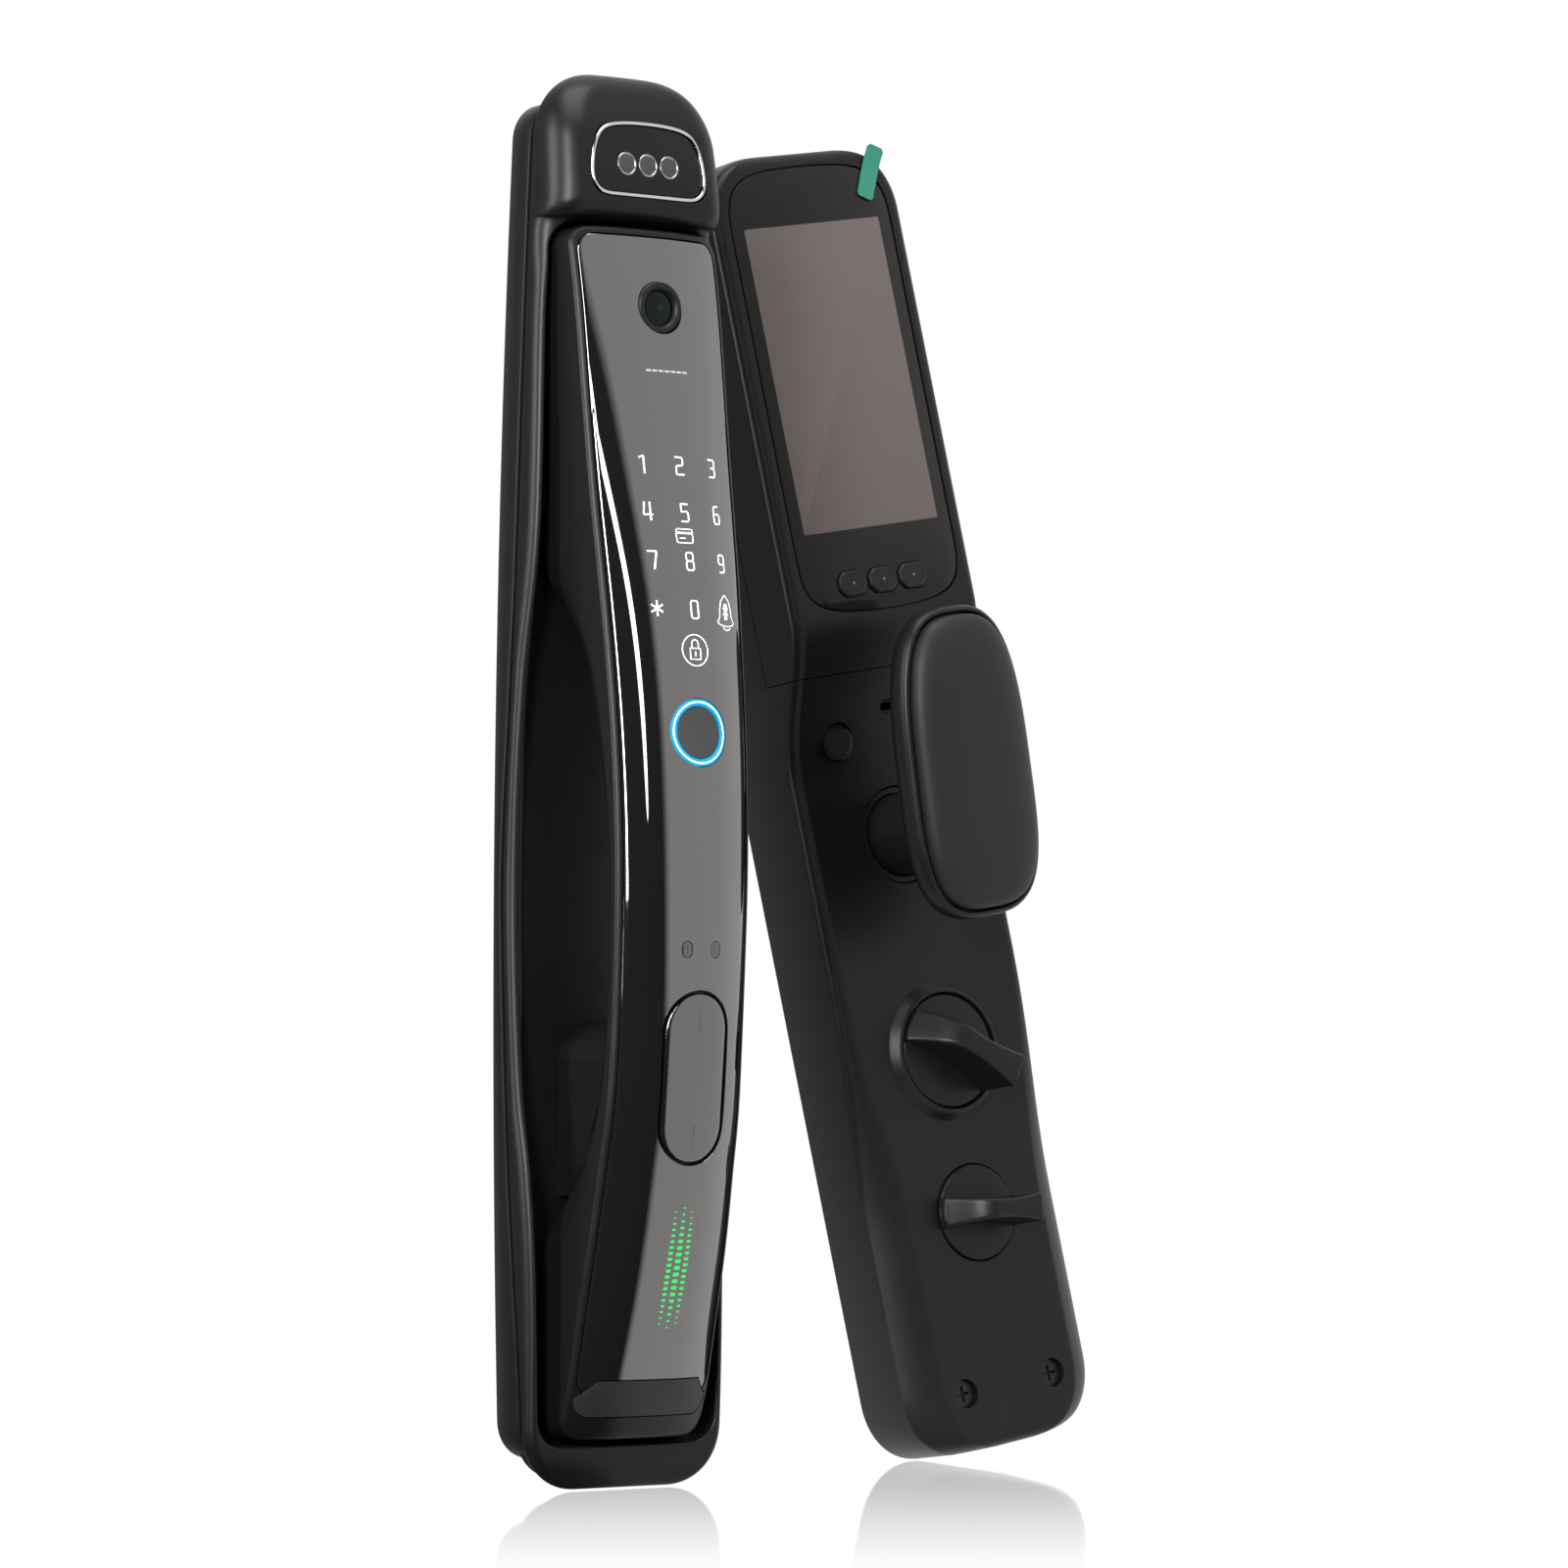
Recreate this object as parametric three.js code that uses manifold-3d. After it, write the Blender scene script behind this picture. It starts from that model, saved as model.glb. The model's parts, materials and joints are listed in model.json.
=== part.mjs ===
// Keypad smart lock: the exterior unit with its bow handle and the interior unit with screen,
// paddle handle and two turn knobs.  Millimetres, +Z up.  Each unit is drawn in its own frame:
// x across, "depth" forward from the door face (-Y) and z up from the unit's lower end.
import * as THREE from 'three';
import { mergeVertices } from 'three/addons/utils/BufferGeometryUtils.js';
import Module from 'manifold-3d';

const wasm = await Module();
wasm.setup();

// ---------- driving sizes ----------
const GAP = 0.3;                    // clearance between pieces that touch
const WALL = 2.2;                   // casing wall
const FINEST_EDGE = 0.03;           // shorter edges left by cuts are merged away

// exterior unit
const EXT_HEIGHT = 428;
const EXT_HALF_WIDTH = 38;          // at the widest level
const EXT_TOP_NARROWING = 7.6;      // how much narrower each side is at the top
const EXT_WIDEST_LEVEL = 150;
const EXT_CORNER = 19;              // corner radius of the casing outline
const REAR_SHELL_END_INSET = 9;     // rear shell stops this far short of the front shell's ends
const REAR_SHELL_CORNER = 12;
const GASKET_THICKNESS = 1;
const GASKET_INSET = 1.5;
const REAR_FLOOR = 2.2;             // back wall of the rear shell
const BASIN_FLOOR_DEPTH = 7.8;      // recess behind the handle
const BASIN_WALL = 1.3;
const BASIN_RIM = 3.4;              // casing rim beside the recess
const BASIN_CLEARANCE = 2;          // recess edge beyond the bow's two ends
const BASIN_CORNER = 9;

// bow handle
const BOW_BOTTOM = 15;
const BOW_TOP_DROP = 48;            // handle top below the unit's top
const BOW_RIM = 1.9;                // frame showing beside the touch panel
const PANEL_THICKNESS = 2;
const PANEL_LEDGE = 3;
const PANEL_BOTTOM = 33;            // seam between touch panel and end cap
const END_CAP_HEIGHT = 11;
const END_CAP_BACK = 14;

// exterior fittings
const WINDOW_LEVEL_DROP = 29;       // face window centre below the unit's top
const WINDOW_TILT = 5;              // degrees, the top leans back
const WINDOW_HALF_WIDTH = 20.4;
const WINDOW_HALF_HEIGHT = 11.4;
const BEZEL_WIDTH = 1.1;
const FACE_LENS_RADIUS = 3.4;
const FACE_LENS_PITCH = 7.9;
const BELL_CAMERA_DROP = 72.4;
const BELL_CAMERA_RADIUS = 7.8;
const BELL_LENS_RADIUS = 5.2;
const FINGERPRINT_LEVEL = 226.5;
const FINGERPRINT_RADIUS = 8.1;
const FINGERPRINT_RING = 2;
const SENSOR_LEVEL = 161.7;
const SENSOR_PITCH = 10.4;
const SENSOR_HALF_WIDTH = 1.6;
const SENSOR_HALF_HEIGHT = 2.4;
const KEY_COVER_LEVEL = 123.4;
const KEY_COVER_HALF_WIDTH = 10.9;
const KEY_COVER_HALF_HEIGHT = 25;
const KEY_COVER_THICKNESS = 1.8;
const KEY_COVER_GAP = 1.2;
const HINGE_PIN_RADIUS = 0.75;
const HINGE_DROP = 6;               // hinge axis below the cover's upper tip
const HINGE_SETBACK = 3.4;           // hinge axis behind the cover's front face
const CYLINDER_LEVEL = 112;
const CYLINDER_RADIUS = 8.2;
const PLUG_RADIUS = 5.2;
const COLUMN_BOTTOM = 88;
const COLUMN_TOP = 141;
const COLUMN_HALF_WIDTH = 19;
const LED_BOTTOM = 46;
const LED_TOP = 86;
const KEYPAD_BOTTOM = 246;
const KEYPAD_TOP = 326;
const BOARD_THICKNESS = 1.2;
const BOARD_SINK = 1;               // air between the touch panel and the boards behind it
const BOARD_HALF_WIDTH = 15;
const LAYER_CORNER = 4;

// interior unit
const INT_HEIGHT = 421;
const INT_HALF_WIDTH = 38.8;
const INT_CORNER = 22;
const UPPER_DEPTH = 45;             // battery and screen end
const LOWER_DEPTH = 29.5;           // knob end
const STEP_DROP = 150;              // upper end of the depth step below the unit's top
const STEP_LENGTH = 50;
const COVER_SEAM_DROP = 168.5;      // seam of the battery cover below the unit's top
const COVER_SEAM_DEPTH = 24.3;
const PLATE_THICKNESS = 1.5;
const GLASS_THICKNESS = 1.6;
const GLASS_HALF_WIDTH = 33;
const GLASS_TOP_DROP = 5;
const GLASS_BOTTOM_DROP = 150;
const DISPLAY_WIDTH = 56;
const DISPLAY_HEIGHT = 99.6;
const DISPLAY_TOP_DROP = 23.7;
const BUTTON_LEVEL_DROP = 140.7;
const BUTTON_PITCH = 12.6;
const BUTTON_HALF_WIDTH = 5.6;
const BUTTON_HALF_HEIGHT = 4.1;
const BUTTON_PROUD = 1.3;
const BUTTON_TRAVEL = 0.8;
const PORT_X = 2.4;
const PORT_LEVEL = 240.4;
const PORT_HALF_WIDTH = 4.3;
const PORT_HALF_HEIGHT = 1.4;
const OPEN_BUTTON_X = -20.2;
const OPEN_BUTTON_LEVEL = 231.6;
const OPEN_BUTTON_RADIUS = 6;
const OPEN_BUTTON_TRAVEL = 1;
const STEM_LEVEL = 199;
const STEM_RADIUS = 13.2;
const STEM_BUSH_WALL = 2.2;
const PADDLE_BACK_DEPTH = 58;
const PADDLE_HEIGHT = 100;
const PADDLE_HALF_WIDTH = 26.5;
const PADDLE_THICKNESS = 12;
const PADDLE_ABOVE_STEM = 19;       // paddle centre above the stem axis
const PADDLE_LEAN = 6;              // degrees, the tip leans away from the door
const PAD_BULGE = 7;
const PAD_GROOVE = 1.4;
const BIG_KNOB_LEVEL = 127.7;
const BIG_KNOB_RADIUS = 18.4;
const BIG_COLLAR_RADIUS = 22.6;
const COLLAR_HEIGHT = 3;
const SMALL_KNOB_LEVEL = 74.9;
const SMALL_KNOB_RADIUS = 15.4;
const KNOB_GAP = 0.6;
const SCREW_X = 18.4;
const SCREW_LEVEL = 19;
const SCREW_RADIUS = 4.4;

// how the interior unit stands beside the exterior unit
const INT_OFFSET_X = 177.4;
const INT_OFFSET_Y = 39.6;
const INT_LEAN_BACK = 6.5;          // degrees
const INT_LEAN_LEFT = 9.1;          // degrees

const RIM_POINTS = 4;
const FRONT_POINTS = 6;
const FAR = 90;                     // beyond every piece, for cutting tools

// ---------- shape helpers ----------
const at = (x, depth, z) => new THREE.Vector3(x, -depth, z);
const clamp = (value, low, high) => Math.min(high, Math.max(low, value));
const smooth = (t) => t * t * (3 - 2 * t);
const blend = (z, low, high) => smooth(clamp((z - low) / (high - low), 0, 1));

// A rounded end: how much of `radius` is left at `distance` from the end.
function roundedEnd(distance, radius, power = 2.2) {
  const t = 1 - clamp(distance / radius, 0, 1);
  return radius * (1 - (1 - t ** power) ** (1 / power));
}

// Smooth height curve through [level, value] points.
function curveThrough(points) {
  const spline = new THREE.SplineCurve(points.map(([level, value]) => new THREE.Vector2(level, value)));
  const samples = spline.getPoints(points.length * 12);
  return (level) => {
    if (level <= samples[0].x) {
      return samples[0].y;
    }
    const next = samples.findIndex((sample) => sample.x > level);
    if (next < 0) {
      return samples.at(-1).y;
    }
    const [low, high] = [samples[next - 1], samples[next]];
    return low.y + (high.y - low.y) * (level - low.x) / (high.x - low.x);
  };
}

// Levels for a loft: close together where the ends are rounded.
function levels(bottom, top, corner, step) {
  const ends = [0, 0.04, 0.15, 0.38, 1].map((share) => share * corner);
  const middle = [];
  const count = Math.max(1, Math.round((top - bottom - 2 * corner) / step));
  for (let i = 1; i < count; i += 1) {
    middle.push(bottom + corner + (top - bottom - 2 * corner) * i / count);
  }
  return [...ends.map((end) => bottom + end), ...middle, ...ends.reverse().map((end) => top - end)];
}

function signedVolume(positions, indices) {
  const [a, b, c] = [new THREE.Vector3(), new THREE.Vector3(), new THREE.Vector3()];
  let volume = 0;
  for (let i = 0; i < indices.length; i += 3) {
    a.fromArray(positions, indices[i] * 3);
    b.fromArray(positions, indices[i + 1] * 3);
    c.fromArray(positions, indices[i + 2] * 3);
    volume += a.dot(b.cross(c));
  }
  return volume;
}

// Closed solid through rings of equal length, with a fan on each end ring.
function loft(rings) {
  const size = rings[0].length;
  const positions = rings.flat().flatMap((point) => point.toArray());
  const indices = [];
  for (let r = 0; r < rings.length - 1; r += 1) {
    for (let i = 0; i < size; i += 1) {
      const j = (i + 1) % size;
      const [a, b, c, d] = [r * size + i, r * size + j, (r + 1) * size + j, (r + 1) * size + i];
      indices.push(a, b, c, a, c, d);
    }
  }
  for (const [start, flip] of [[0, true], [(rings.length - 1) * size, false]]) {
    const centre = new THREE.Vector3();
    for (let i = 0; i < size; i += 1) {
      centre.add(new THREE.Vector3().fromArray(positions, (start + i) * 3));
    }
    centre.divideScalar(size);
    const middle = positions.length / 3;
    positions.push(...centre.toArray());
    for (let i = 0; i < size; i += 1) {
      const j = (i + 1) % size;
      indices.push(middle, start + (flip ? j : i), start + (flip ? i : j));
    }
  }
  if (signedVolume(positions, indices) < 0) {
    indices.reverse();
  }
  const geometry = new THREE.BufferGeometry();
  geometry.setAttribute('position', new THREE.Float32BufferAttribute(positions, 3));
  geometry.setIndex(indices);
  return geometry;
}

// three.js geometry to manifold solid and back.
function solid(geometry) {
  const bare = geometry.clone();
  bare.deleteAttribute('normal');
  bare.deleteAttribute('uv');
  const merged = mergeVertices(bare, 1e-4);
  return new wasm.Manifold(new wasm.Mesh({
    numProp: 3,
    vertProperties: new Float32Array(merged.attributes.position.array),
    triVerts: new Uint32Array(merged.index.array),
  }));
}

function geometryOf(body) {
  const mesh = body.getMesh();
  const geometry = new THREE.BufferGeometry();
  geometry.setAttribute('position', new THREE.Float32BufferAttribute(mesh.vertProperties, 3));
  geometry.setIndex([...mesh.triVerts]);
  return geometry;
}

// Block between two corners given as x, depth, z.
function block([x0, depth0, z0], [x1, depth1, z1]) {
  const box = new THREE.BoxGeometry(x1 - x0, depth1 - depth0, z1 - z0);
  box.translate((x0 + x1) / 2, -(depth0 + depth1) / 2, (z0 + z1) / 2);
  return solid(box);
}

// Round bar along the depth axis; a second radius makes it a cone.
function bar(x, z, radius, depth0, depth1, sides = 28, frontRadius = radius) {
  const cylinder = new THREE.CylinderGeometry(radius, frontRadius, depth1 - depth0, sides);
  cylinder.translate(x, -(depth0 + depth1) / 2, z);
  return solid(cylinder);
}

// Prism of a flat outline (x, z) between two depths.
function prism(shape, depth0, depth1, curveSegments = 6) {
  const geometry = new THREE.ExtrudeGeometry(shape, {
    depth: depth1 - depth0,
    bevelEnabled: false,
    curveSegments,
  });
  geometry.rotateX(Math.PI / 2);
  geometry.translate(0, -depth0, 0);
  return solid(geometry);
}

// Rounded rectangle, centred, with its own corner radius.
function roundedRectangle(halfWidth, halfHeight, corner, x = 0, z = 0) {
  const radius = Math.min(corner, halfWidth, halfHeight);
  const shape = new THREE.Shape();
  shape.moveTo(x - halfWidth + radius, z - halfHeight);
  shape.absarc(x + halfWidth - radius, z - halfHeight + radius, radius, -Math.PI / 2, 0);
  shape.absarc(x + halfWidth - radius, z + halfHeight - radius, radius, 0, Math.PI / 2);
  shape.absarc(x - halfWidth + radius, z + halfHeight - radius, radius, Math.PI / 2, Math.PI);
  shape.absarc(x - halfWidth + radius, z - halfHeight + radius, radius, Math.PI, Math.PI * 1.5);
  return shape;
}

// Casing section at one level: flat back, straight flanks, rounded front edges, flat front.
function section(z, { halfWidth, back, side, front, inset }) {
  const left = [at(-halfWidth, back, z)];
  for (let i = 0; i <= RIM_POINTS; i += 1) {
    const angle = Math.PI / 2 * i / RIM_POINTS;
    left.push(at(-halfWidth + inset * (1 - Math.cos(angle)), side + (front - side) * Math.sin(angle), z));
  }
  const middle = [];
  const reach = halfWidth - inset;
  for (let i = 1; i < FRONT_POINTS; i += 1) {
    const x = reach * (2 * i / FRONT_POINTS - 1);
    middle.push(at(x, front, z));
  }
  const right = left.map((point) => new THREE.Vector3(-point.x, point.y, point.z)).reverse();
  return [...left, ...middle, ...right];
}

// ---------- exterior casing ----------
const EXT_MIDDLE = EXT_HEIGHT * 0.44;       // level where the bow stands furthest out
const fromTop = (drop) => EXT_HEIGHT - drop;
const bowTop = fromTop(BOW_TOP_DROP);
const basinTop = bowTop + BASIN_CLEARANCE;
const basinBottom = BOW_BOTTOM - BASIN_CLEARANCE;

function extHalfWidth(z) {
  const reach = (EXT_HEIGHT - EXT_WIDEST_LEVEL);
  return EXT_HALF_WIDTH - EXT_TOP_NARROWING * ((z - EXT_WIDEST_LEVEL) / reach) ** 2;
}

// Depth of the seam between the rear and front shells.
const seamDepth = curveThrough([
  [0, 13.5],
  [36, 13],
  [94, 9],
  [EXT_MIDDLE - 35, 6.3],
  [EXT_MIDDLE, 5.7],
  [EXT_MIDDLE + 50, 8.6],
  [EXT_MIDDLE + 105, 10.8],
  [EXT_HEIGHT, 11.6],
]);

// Depth of the front shell's rim, low beside the grip and high at both ends.
const rimDepth = curveThrough([
  [0, 22],
  [20, 23.6],
  [65, 24],
  [94, 20],
  [123, 13.4],
  [EXT_MIDDLE - 7, 10.2],
  [EXT_MIDDLE + 52, 13.2],
  [EXT_MIDDLE + 102, 19],
  [fromTop(72), 18.4],
  [fromTop(48), 20.5],
  [fromTop(45), 25.5],
  [fromTop(42), 28.3],
  [fromTop(38), 28.9],
  [fromTop(28), 27.9],
  [fromTop(18), 26.3],
  [fromTop(10), 23],
  [fromTop(4), 18.5],
  [EXT_HEIGHT, 13],
]);

const DOME_UNDERCUT_DROPS = [50, 47, 42];   // extra levels where the dome turns in to the recess

// Front shell envelope, shrunk by `offset` on every side; `back` overrides the seam.
function frontEnvelope(offset, back) {
  const bottom = offset;
  const top = EXT_HEIGHT - offset;
  const undercut = DOME_UNDERCUT_DROPS.map(fromTop);
  const sorted = [...levels(bottom, top, EXT_CORNER, 18), ...undercut].sort((a, b) => a - b);
  const rings = sorted.map((z) => {
    const end = Math.min(z - bottom, top - z);
    const halfWidth = extHalfWidth(z) - offset - roundedEnd(end, EXT_CORNER);
    const front = rimDepth(z) - offset - roundedEnd(end, 7);
    const rear = back ?? seamDepth(z) + GAP / 2;
    const side = Math.max(rear + 0.6, front - 6);
    return section(z, { halfWidth, back: rear, side, front, inset: 3 });
  });
  return solid(loft(rings));
}

function basin(offset) {
  const bottom = basinBottom - offset;
  const top = basinTop + offset;
  const rings = levels(bottom, top, BASIN_CORNER, 18).map((z) => {
    const end = Math.min(z - bottom, top - z);
    const halfWidth = extHalfWidth(z) - BASIN_RIM + offset - roundedEnd(end, BASIN_CORNER);
    const floor = BASIN_FLOOR_DEPTH - offset;
    return [at(-halfWidth, floor, z), at(-halfWidth, FAR, z), at(halfWidth, FAR, z), at(halfWidth, floor, z)];
  });
  return solid(loft(rings));
}

function rearEnvelope(offset, back, front) {
  const bottom = REAR_SHELL_END_INSET + offset;
  const top = EXT_HEIGHT - REAR_SHELL_END_INSET - offset;
  const rings = levels(bottom, top, REAR_SHELL_CORNER, 22).map((z) => {
    const end = Math.min(z - bottom, top - z);
    const halfWidth = extHalfWidth(z) + 0.6 - offset - roundedEnd(end, REAR_SHELL_CORNER);
    const face = front ?? seamDepth(z) - GAP / 2;
    return [at(-halfWidth, back, z), at(-halfWidth, face, z), at(halfWidth, face, z), at(halfWidth, back, z)];
  });
  return solid(loft(rings));
}

// ---------- bow handle ----------
const bowFront = curveThrough([
  [BOW_BOTTOM, 20],
  [PANEL_BOTTOM, 28.8],
  [65, 41.2],
  [94, 48.6],
  [123, 53.2],
  [EXT_MIDDLE - 10, 55.8],
  [EXT_MIDDLE + 36, 54.6],
  [EXT_MIDDLE + 77, 50],
  [fromTop(118), 42],
  [fromTop(72), 34.1],
  [bowTop, 29],
]);
const bowCrown = curveThrough([
  [BOW_BOTTOM, 4.6],
  [65, 9.6],
  [EXT_MIDDLE, 9],
  [EXT_MIDDLE + 80, 8.6],
  [fromTop(72), 4.6],
  [bowTop, 4],
]);
const panelHalfWidth = curveThrough([
  [BOW_BOTTOM, 23.4],
  [65, 23.8],
  [EXT_MIDDLE - 60, 22.6],
  [EXT_MIDDLE, 22.9],
  [EXT_MIDDLE + 60, 23.9],
  [EXT_MIDDLE + 110, 25],
  [bowTop, 25.6],
]);
const bowChine = curveThrough([
  [BOW_BOTTOM, 14],
  [60, 16],
  [94, 27.5],
  [123, 38],
  [EXT_MIDDLE - 8, 42.5],
  [EXT_MIDDLE + 50, 35],
  [EXT_MIDDLE + 102, 17],
  [bowTop, 16],
]);
const bowEdge = (z) => bowFront(z) - bowCrown(z);
const bowBack = (z) => Math.max(BASIN_FLOOR_DEPTH + GAP, bowChine(z) - 9);
const bowHalfWidth = (z) => panelHalfWidth(z) + BOW_RIM;
const BOW_CORNER = 7;

// Crowned line across the bow at level z, `sink` below the front surface.
function crownLine(z, halfWidth, sink, count = 8) {
  const points = [];
  const reach = panelHalfWidth(z);
  for (let i = 0; i <= count; i += 1) {
    const x = halfWidth * (2 * i / count - 1);
    const depth = bowEdge(z) + bowCrown(z) * (1 - Math.abs(x / reach) ** 2.4) - sink;
    points.push(at(x, depth, z));
  }
  return points;
}

// Curved sheet that follows the bow's front between two levels.
function crownSheet(bottom, top, halfWidthAt, sink, thickness, corner, step = 20) {
  const rings = levels(bottom, top, corner, step).map((z) => {
    const end = Math.min(z - bottom, top - z);
    const halfWidth = halfWidthAt(z) - roundedEnd(end, corner);
    const upper = crownLine(z, halfWidth, sink);
    const lower = crownLine(z, halfWidth, sink + thickness).reverse();
    return [...upper, ...lower];
  });
  return solid(loft(rings));
}

function bowEnvelope(offset = 0) {
  const bottom = BOW_BOTTOM - offset;
  const top = bowTop + offset;
  const rings = levels(bottom, top, BOW_CORNER, 20).map((z) => {
    const end = Math.min(z - bottom, top - z);
    const pinch = roundedEnd(end, BOW_CORNER) - offset;
    const halfWidth = bowHalfWidth(z) - pinch;
    const back = bowBack(z) - offset;
    const chine = Math.max(back + 0.5, bowChine(z) - offset);
    const taper = 8 * blend(bowBack(z), BASIN_FLOOR_DEPTH + 1, BASIN_FLOOR_DEPTH + 14);
    const front = crownLine(z, halfWidth - 1, -offset);
    const left = [
      at(-halfWidth + taper, back, z),
      at(-halfWidth, chine, z),
      at(-halfWidth, bowEdge(z) - 1.5, z),
    ];
    const right = left.map((point) => new THREE.Vector3(-point.x, point.y, point.z)).reverse();
    return [...left, ...front, ...right];
  });
  return solid(loft(rings));
}

// ---------- interior casing ----------
const fromIntTop = (drop) => INT_HEIGHT - drop;
const stepTop = fromIntTop(STEP_DROP);
const coverSeam = fromIntTop(COVER_SEAM_DROP);

function intDepth(z) {
  const step = blend(z, stepTop - STEP_LENGTH, stepTop);
  return LOWER_DEPTH + (UPPER_DEPTH - LOWER_DEPTH) * step;
}

// The lower end's front edges widen from a small round into a broad chamfer.
function intEdge(z) {
  const narrow = blend(z, SMALL_KNOB_LEVEL, BIG_KNOB_LEVEL + 30);
  return { inset: 11 - 7 * narrow, fall: 7.5 - 4.3 * narrow };
}

function interiorEnvelope(offset, back = 0) {
  const bottom = offset;
  const top = INT_HEIGHT - offset;
  const rings = levels(bottom, top, INT_CORNER, 18).map((z) => {
    const end = Math.min(z - bottom, top - z);
    const halfWidth = INT_HALF_WIDTH - offset - roundedEnd(end, INT_CORNER);
    const front = intDepth(z) - offset - roundedEnd(end, 5);
    const { inset, fall } = intEdge(z);
    return section(z, { halfWidth, back, side: front - fall, front, inset });
  });
  return solid(loft(rings));
}

// ---------- scene graph ----------
const object = new THREE.Group();
const exterior = new THREE.Group();
const interior = new THREE.Group();
object.add(exterior, interior);

function add(parent, name, body, color, roughness, metalness, extra = {}) {
  const material = new THREE.MeshStandardMaterial({ color, roughness, metalness, ...extra });
  const mesh = new THREE.Mesh(geometryOf(body.asOriginal().simplify(FINEST_EDGE)), material);
  mesh.name = name;
  parent.add(mesh);
  return mesh;
}

const SATIN_BLACK = 0x262423;
const GLOSS_BLACK = 0x0c0c0d;
const CHROME = 0xc8c3be;
const RUBBER = 0x171717;
const STEEL = 0x9a9c9e;
const BRASS = 0xb08d4a;
const BOARD_GREEN = 0x1f5a36;

// ---------- exterior unit ----------
function windowShape(grow) {
  const [w, h] = [WINDOW_HALF_WIDTH + grow, WINDOW_HALF_HEIGHT + grow];
  const shape = new THREE.Shape();
  shape.moveTo(-w * 0.74, -h);
  shape.lineTo(w * 0.74, -h);
  shape.quadraticCurveTo(w * 1.02, -h, w, -h * 0.42);
  shape.quadraticCurveTo(w * 0.97, h * 0.5, w * 0.78, h * 0.8);
  shape.quadraticCurveTo(w * 0.62, h, 0, h);
  shape.quadraticCurveTo(-w * 0.62, h, -w * 0.78, h * 0.8);
  shape.quadraticCurveTo(-w * 0.97, h * 0.5, -w, -h * 0.42);
  shape.quadraticCurveTo(-w * 1.02, -h, -w * 0.74, -h);
  return shape;
}

const windowLevel = fromTop(WINDOW_LEVEL_DROP);
const windowDepth = rimDepth(windowLevel);
const WINDOW_SETBACK = 2.6;

// Tilt a solid drawn around the window centre into its place on the dome.
function onDome(body) {
  return body.rotate([-WINDOW_TILT, 0, 0]).translate([0, -windowDepth, windowLevel]);
}

function addExteriorCasing() {
  const gasketFront = GASKET_THICKNESS;
  const shellBack = gasketFront + GAP;
  const shellFloor = shellBack + REAR_FLOOR;
  const spindleHole = bar(0, CYLINDER_LEVEL, PLUG_RADIUS + GAP, -1, FAR);
  const gasket = rearEnvelope(GASKET_INSET, 0, gasketFront).subtract(spindleHole);
  add(exterior, 'door_gasket', gasket, RUBBER, 0.9, 0);

  const rear = rearEnvelope(0, shellBack)
    .subtract(rearEnvelope(WALL, shellFloor, FAR))
    .subtract(spindleHole);
  add(exterior, 'rear_shell', rear, SATIN_BLACK, 0.45, 0.4);

  const lowestRim = Math.min(...levels(0, EXT_HEIGHT, EXT_CORNER, 10).map(rimDepth));
  const tub = basin(BASIN_WALL)
    .intersect(block([-FAR, 0, 0], [FAR, lowestRim - 1, EXT_HEIGHT]))
    .intersect(rearEnvelope(WALL + GAP, 0, FAR));
  const hollow = frontEnvelope(WALL, 0)
    .intersect(rearEnvelope(WALL, -1, FAR))
    .subtract(basin(BASIN_WALL));
  const pocket = onDome(prism(windowShape(BEZEL_WIDTH + GAP), -WINDOW_SETBACK - GAP, FAR));
  const cameraOpening = onDome(prism(roundedRectangle(14, 6, 3), -FAR, FAR))
    .subtract(block([-FAR, -FAR, 0], [FAR, BASIN_FLOOR_DEPTH, EXT_HEIGHT]));
  const front = frontEnvelope(0)
    .add(tub)
    .subtract(basin(0))
    .subtract(hollow)
    .subtract(pocket)
    .subtract(cameraOpening)
    .subtract(spindleHole);
  add(exterior, 'front_shell', front, SATIN_BLACK, 0.45, 0.4);
}

function addFaceWindow() {
  const bezel = prism(windowShape(BEZEL_WIDTH), -WINDOW_SETBACK, 0.5)
    .subtract(prism(windowShape(0), -FAR, FAR));
  add(exterior, 'face_window_bezel', onDome(bezel), CHROME, 0.15, 1);

  let glass = prism(windowShape(-GAP), -WINDOW_SETBACK, 0);
  const names = ['face_projector_lens', 'face_camera_lens', 'face_infrared_lens'];
  names.forEach((name, index) => {
    const x = FACE_LENS_PITCH * (index - 1);
    glass = glass.subtract(bar(x, -2.4, FACE_LENS_RADIUS + GAP, -FAR, FAR, 24));
    const lens = bar(x, -2.4, FACE_LENS_RADIUS, -WINDOW_SETBACK, 0.1, 24);
    add(exterior, name, onDome(lens), 0x1c1a20, 0.08, 0.1);
  });
  add(exterior, 'face_window', onDome(glass), GLOSS_BLACK, 0.06, 0);

  const board = block([-15, -8, -7], [15, -8 + BOARD_THICKNESS, 7]);
  add(exterior, 'face_camera_board', onDome(board), BOARD_GREEN, 0.6, 0);
}

function keyCoverShape(grow) {
  const halfWidth = KEY_COVER_HALF_WIDTH + grow;
  return roundedRectangle(halfWidth, KEY_COVER_HALF_HEIGHT + grow, halfWidth, 0, KEY_COVER_LEVEL);
}

const hingeLevel = KEY_COVER_LEVEL + KEY_COVER_HALF_HEIGHT - HINGE_DROP;
const hingeDepth = bowFront(hingeLevel) - HINGE_SETBACK;
const HINGE_HALF_LENGTH = 5.4;
const HINGE_EAR = 1.6;                      // width of each bracket ear

function crossBar(radius, halfLength, level, depth, sides = 16) {
  const cylinder = new THREE.CylinderGeometry(radius, radius, 2 * halfLength, sides);
  cylinder.rotateZ(Math.PI / 2);
  cylinder.translate(0, -depth, level);
  return solid(cylinder);
}

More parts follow.
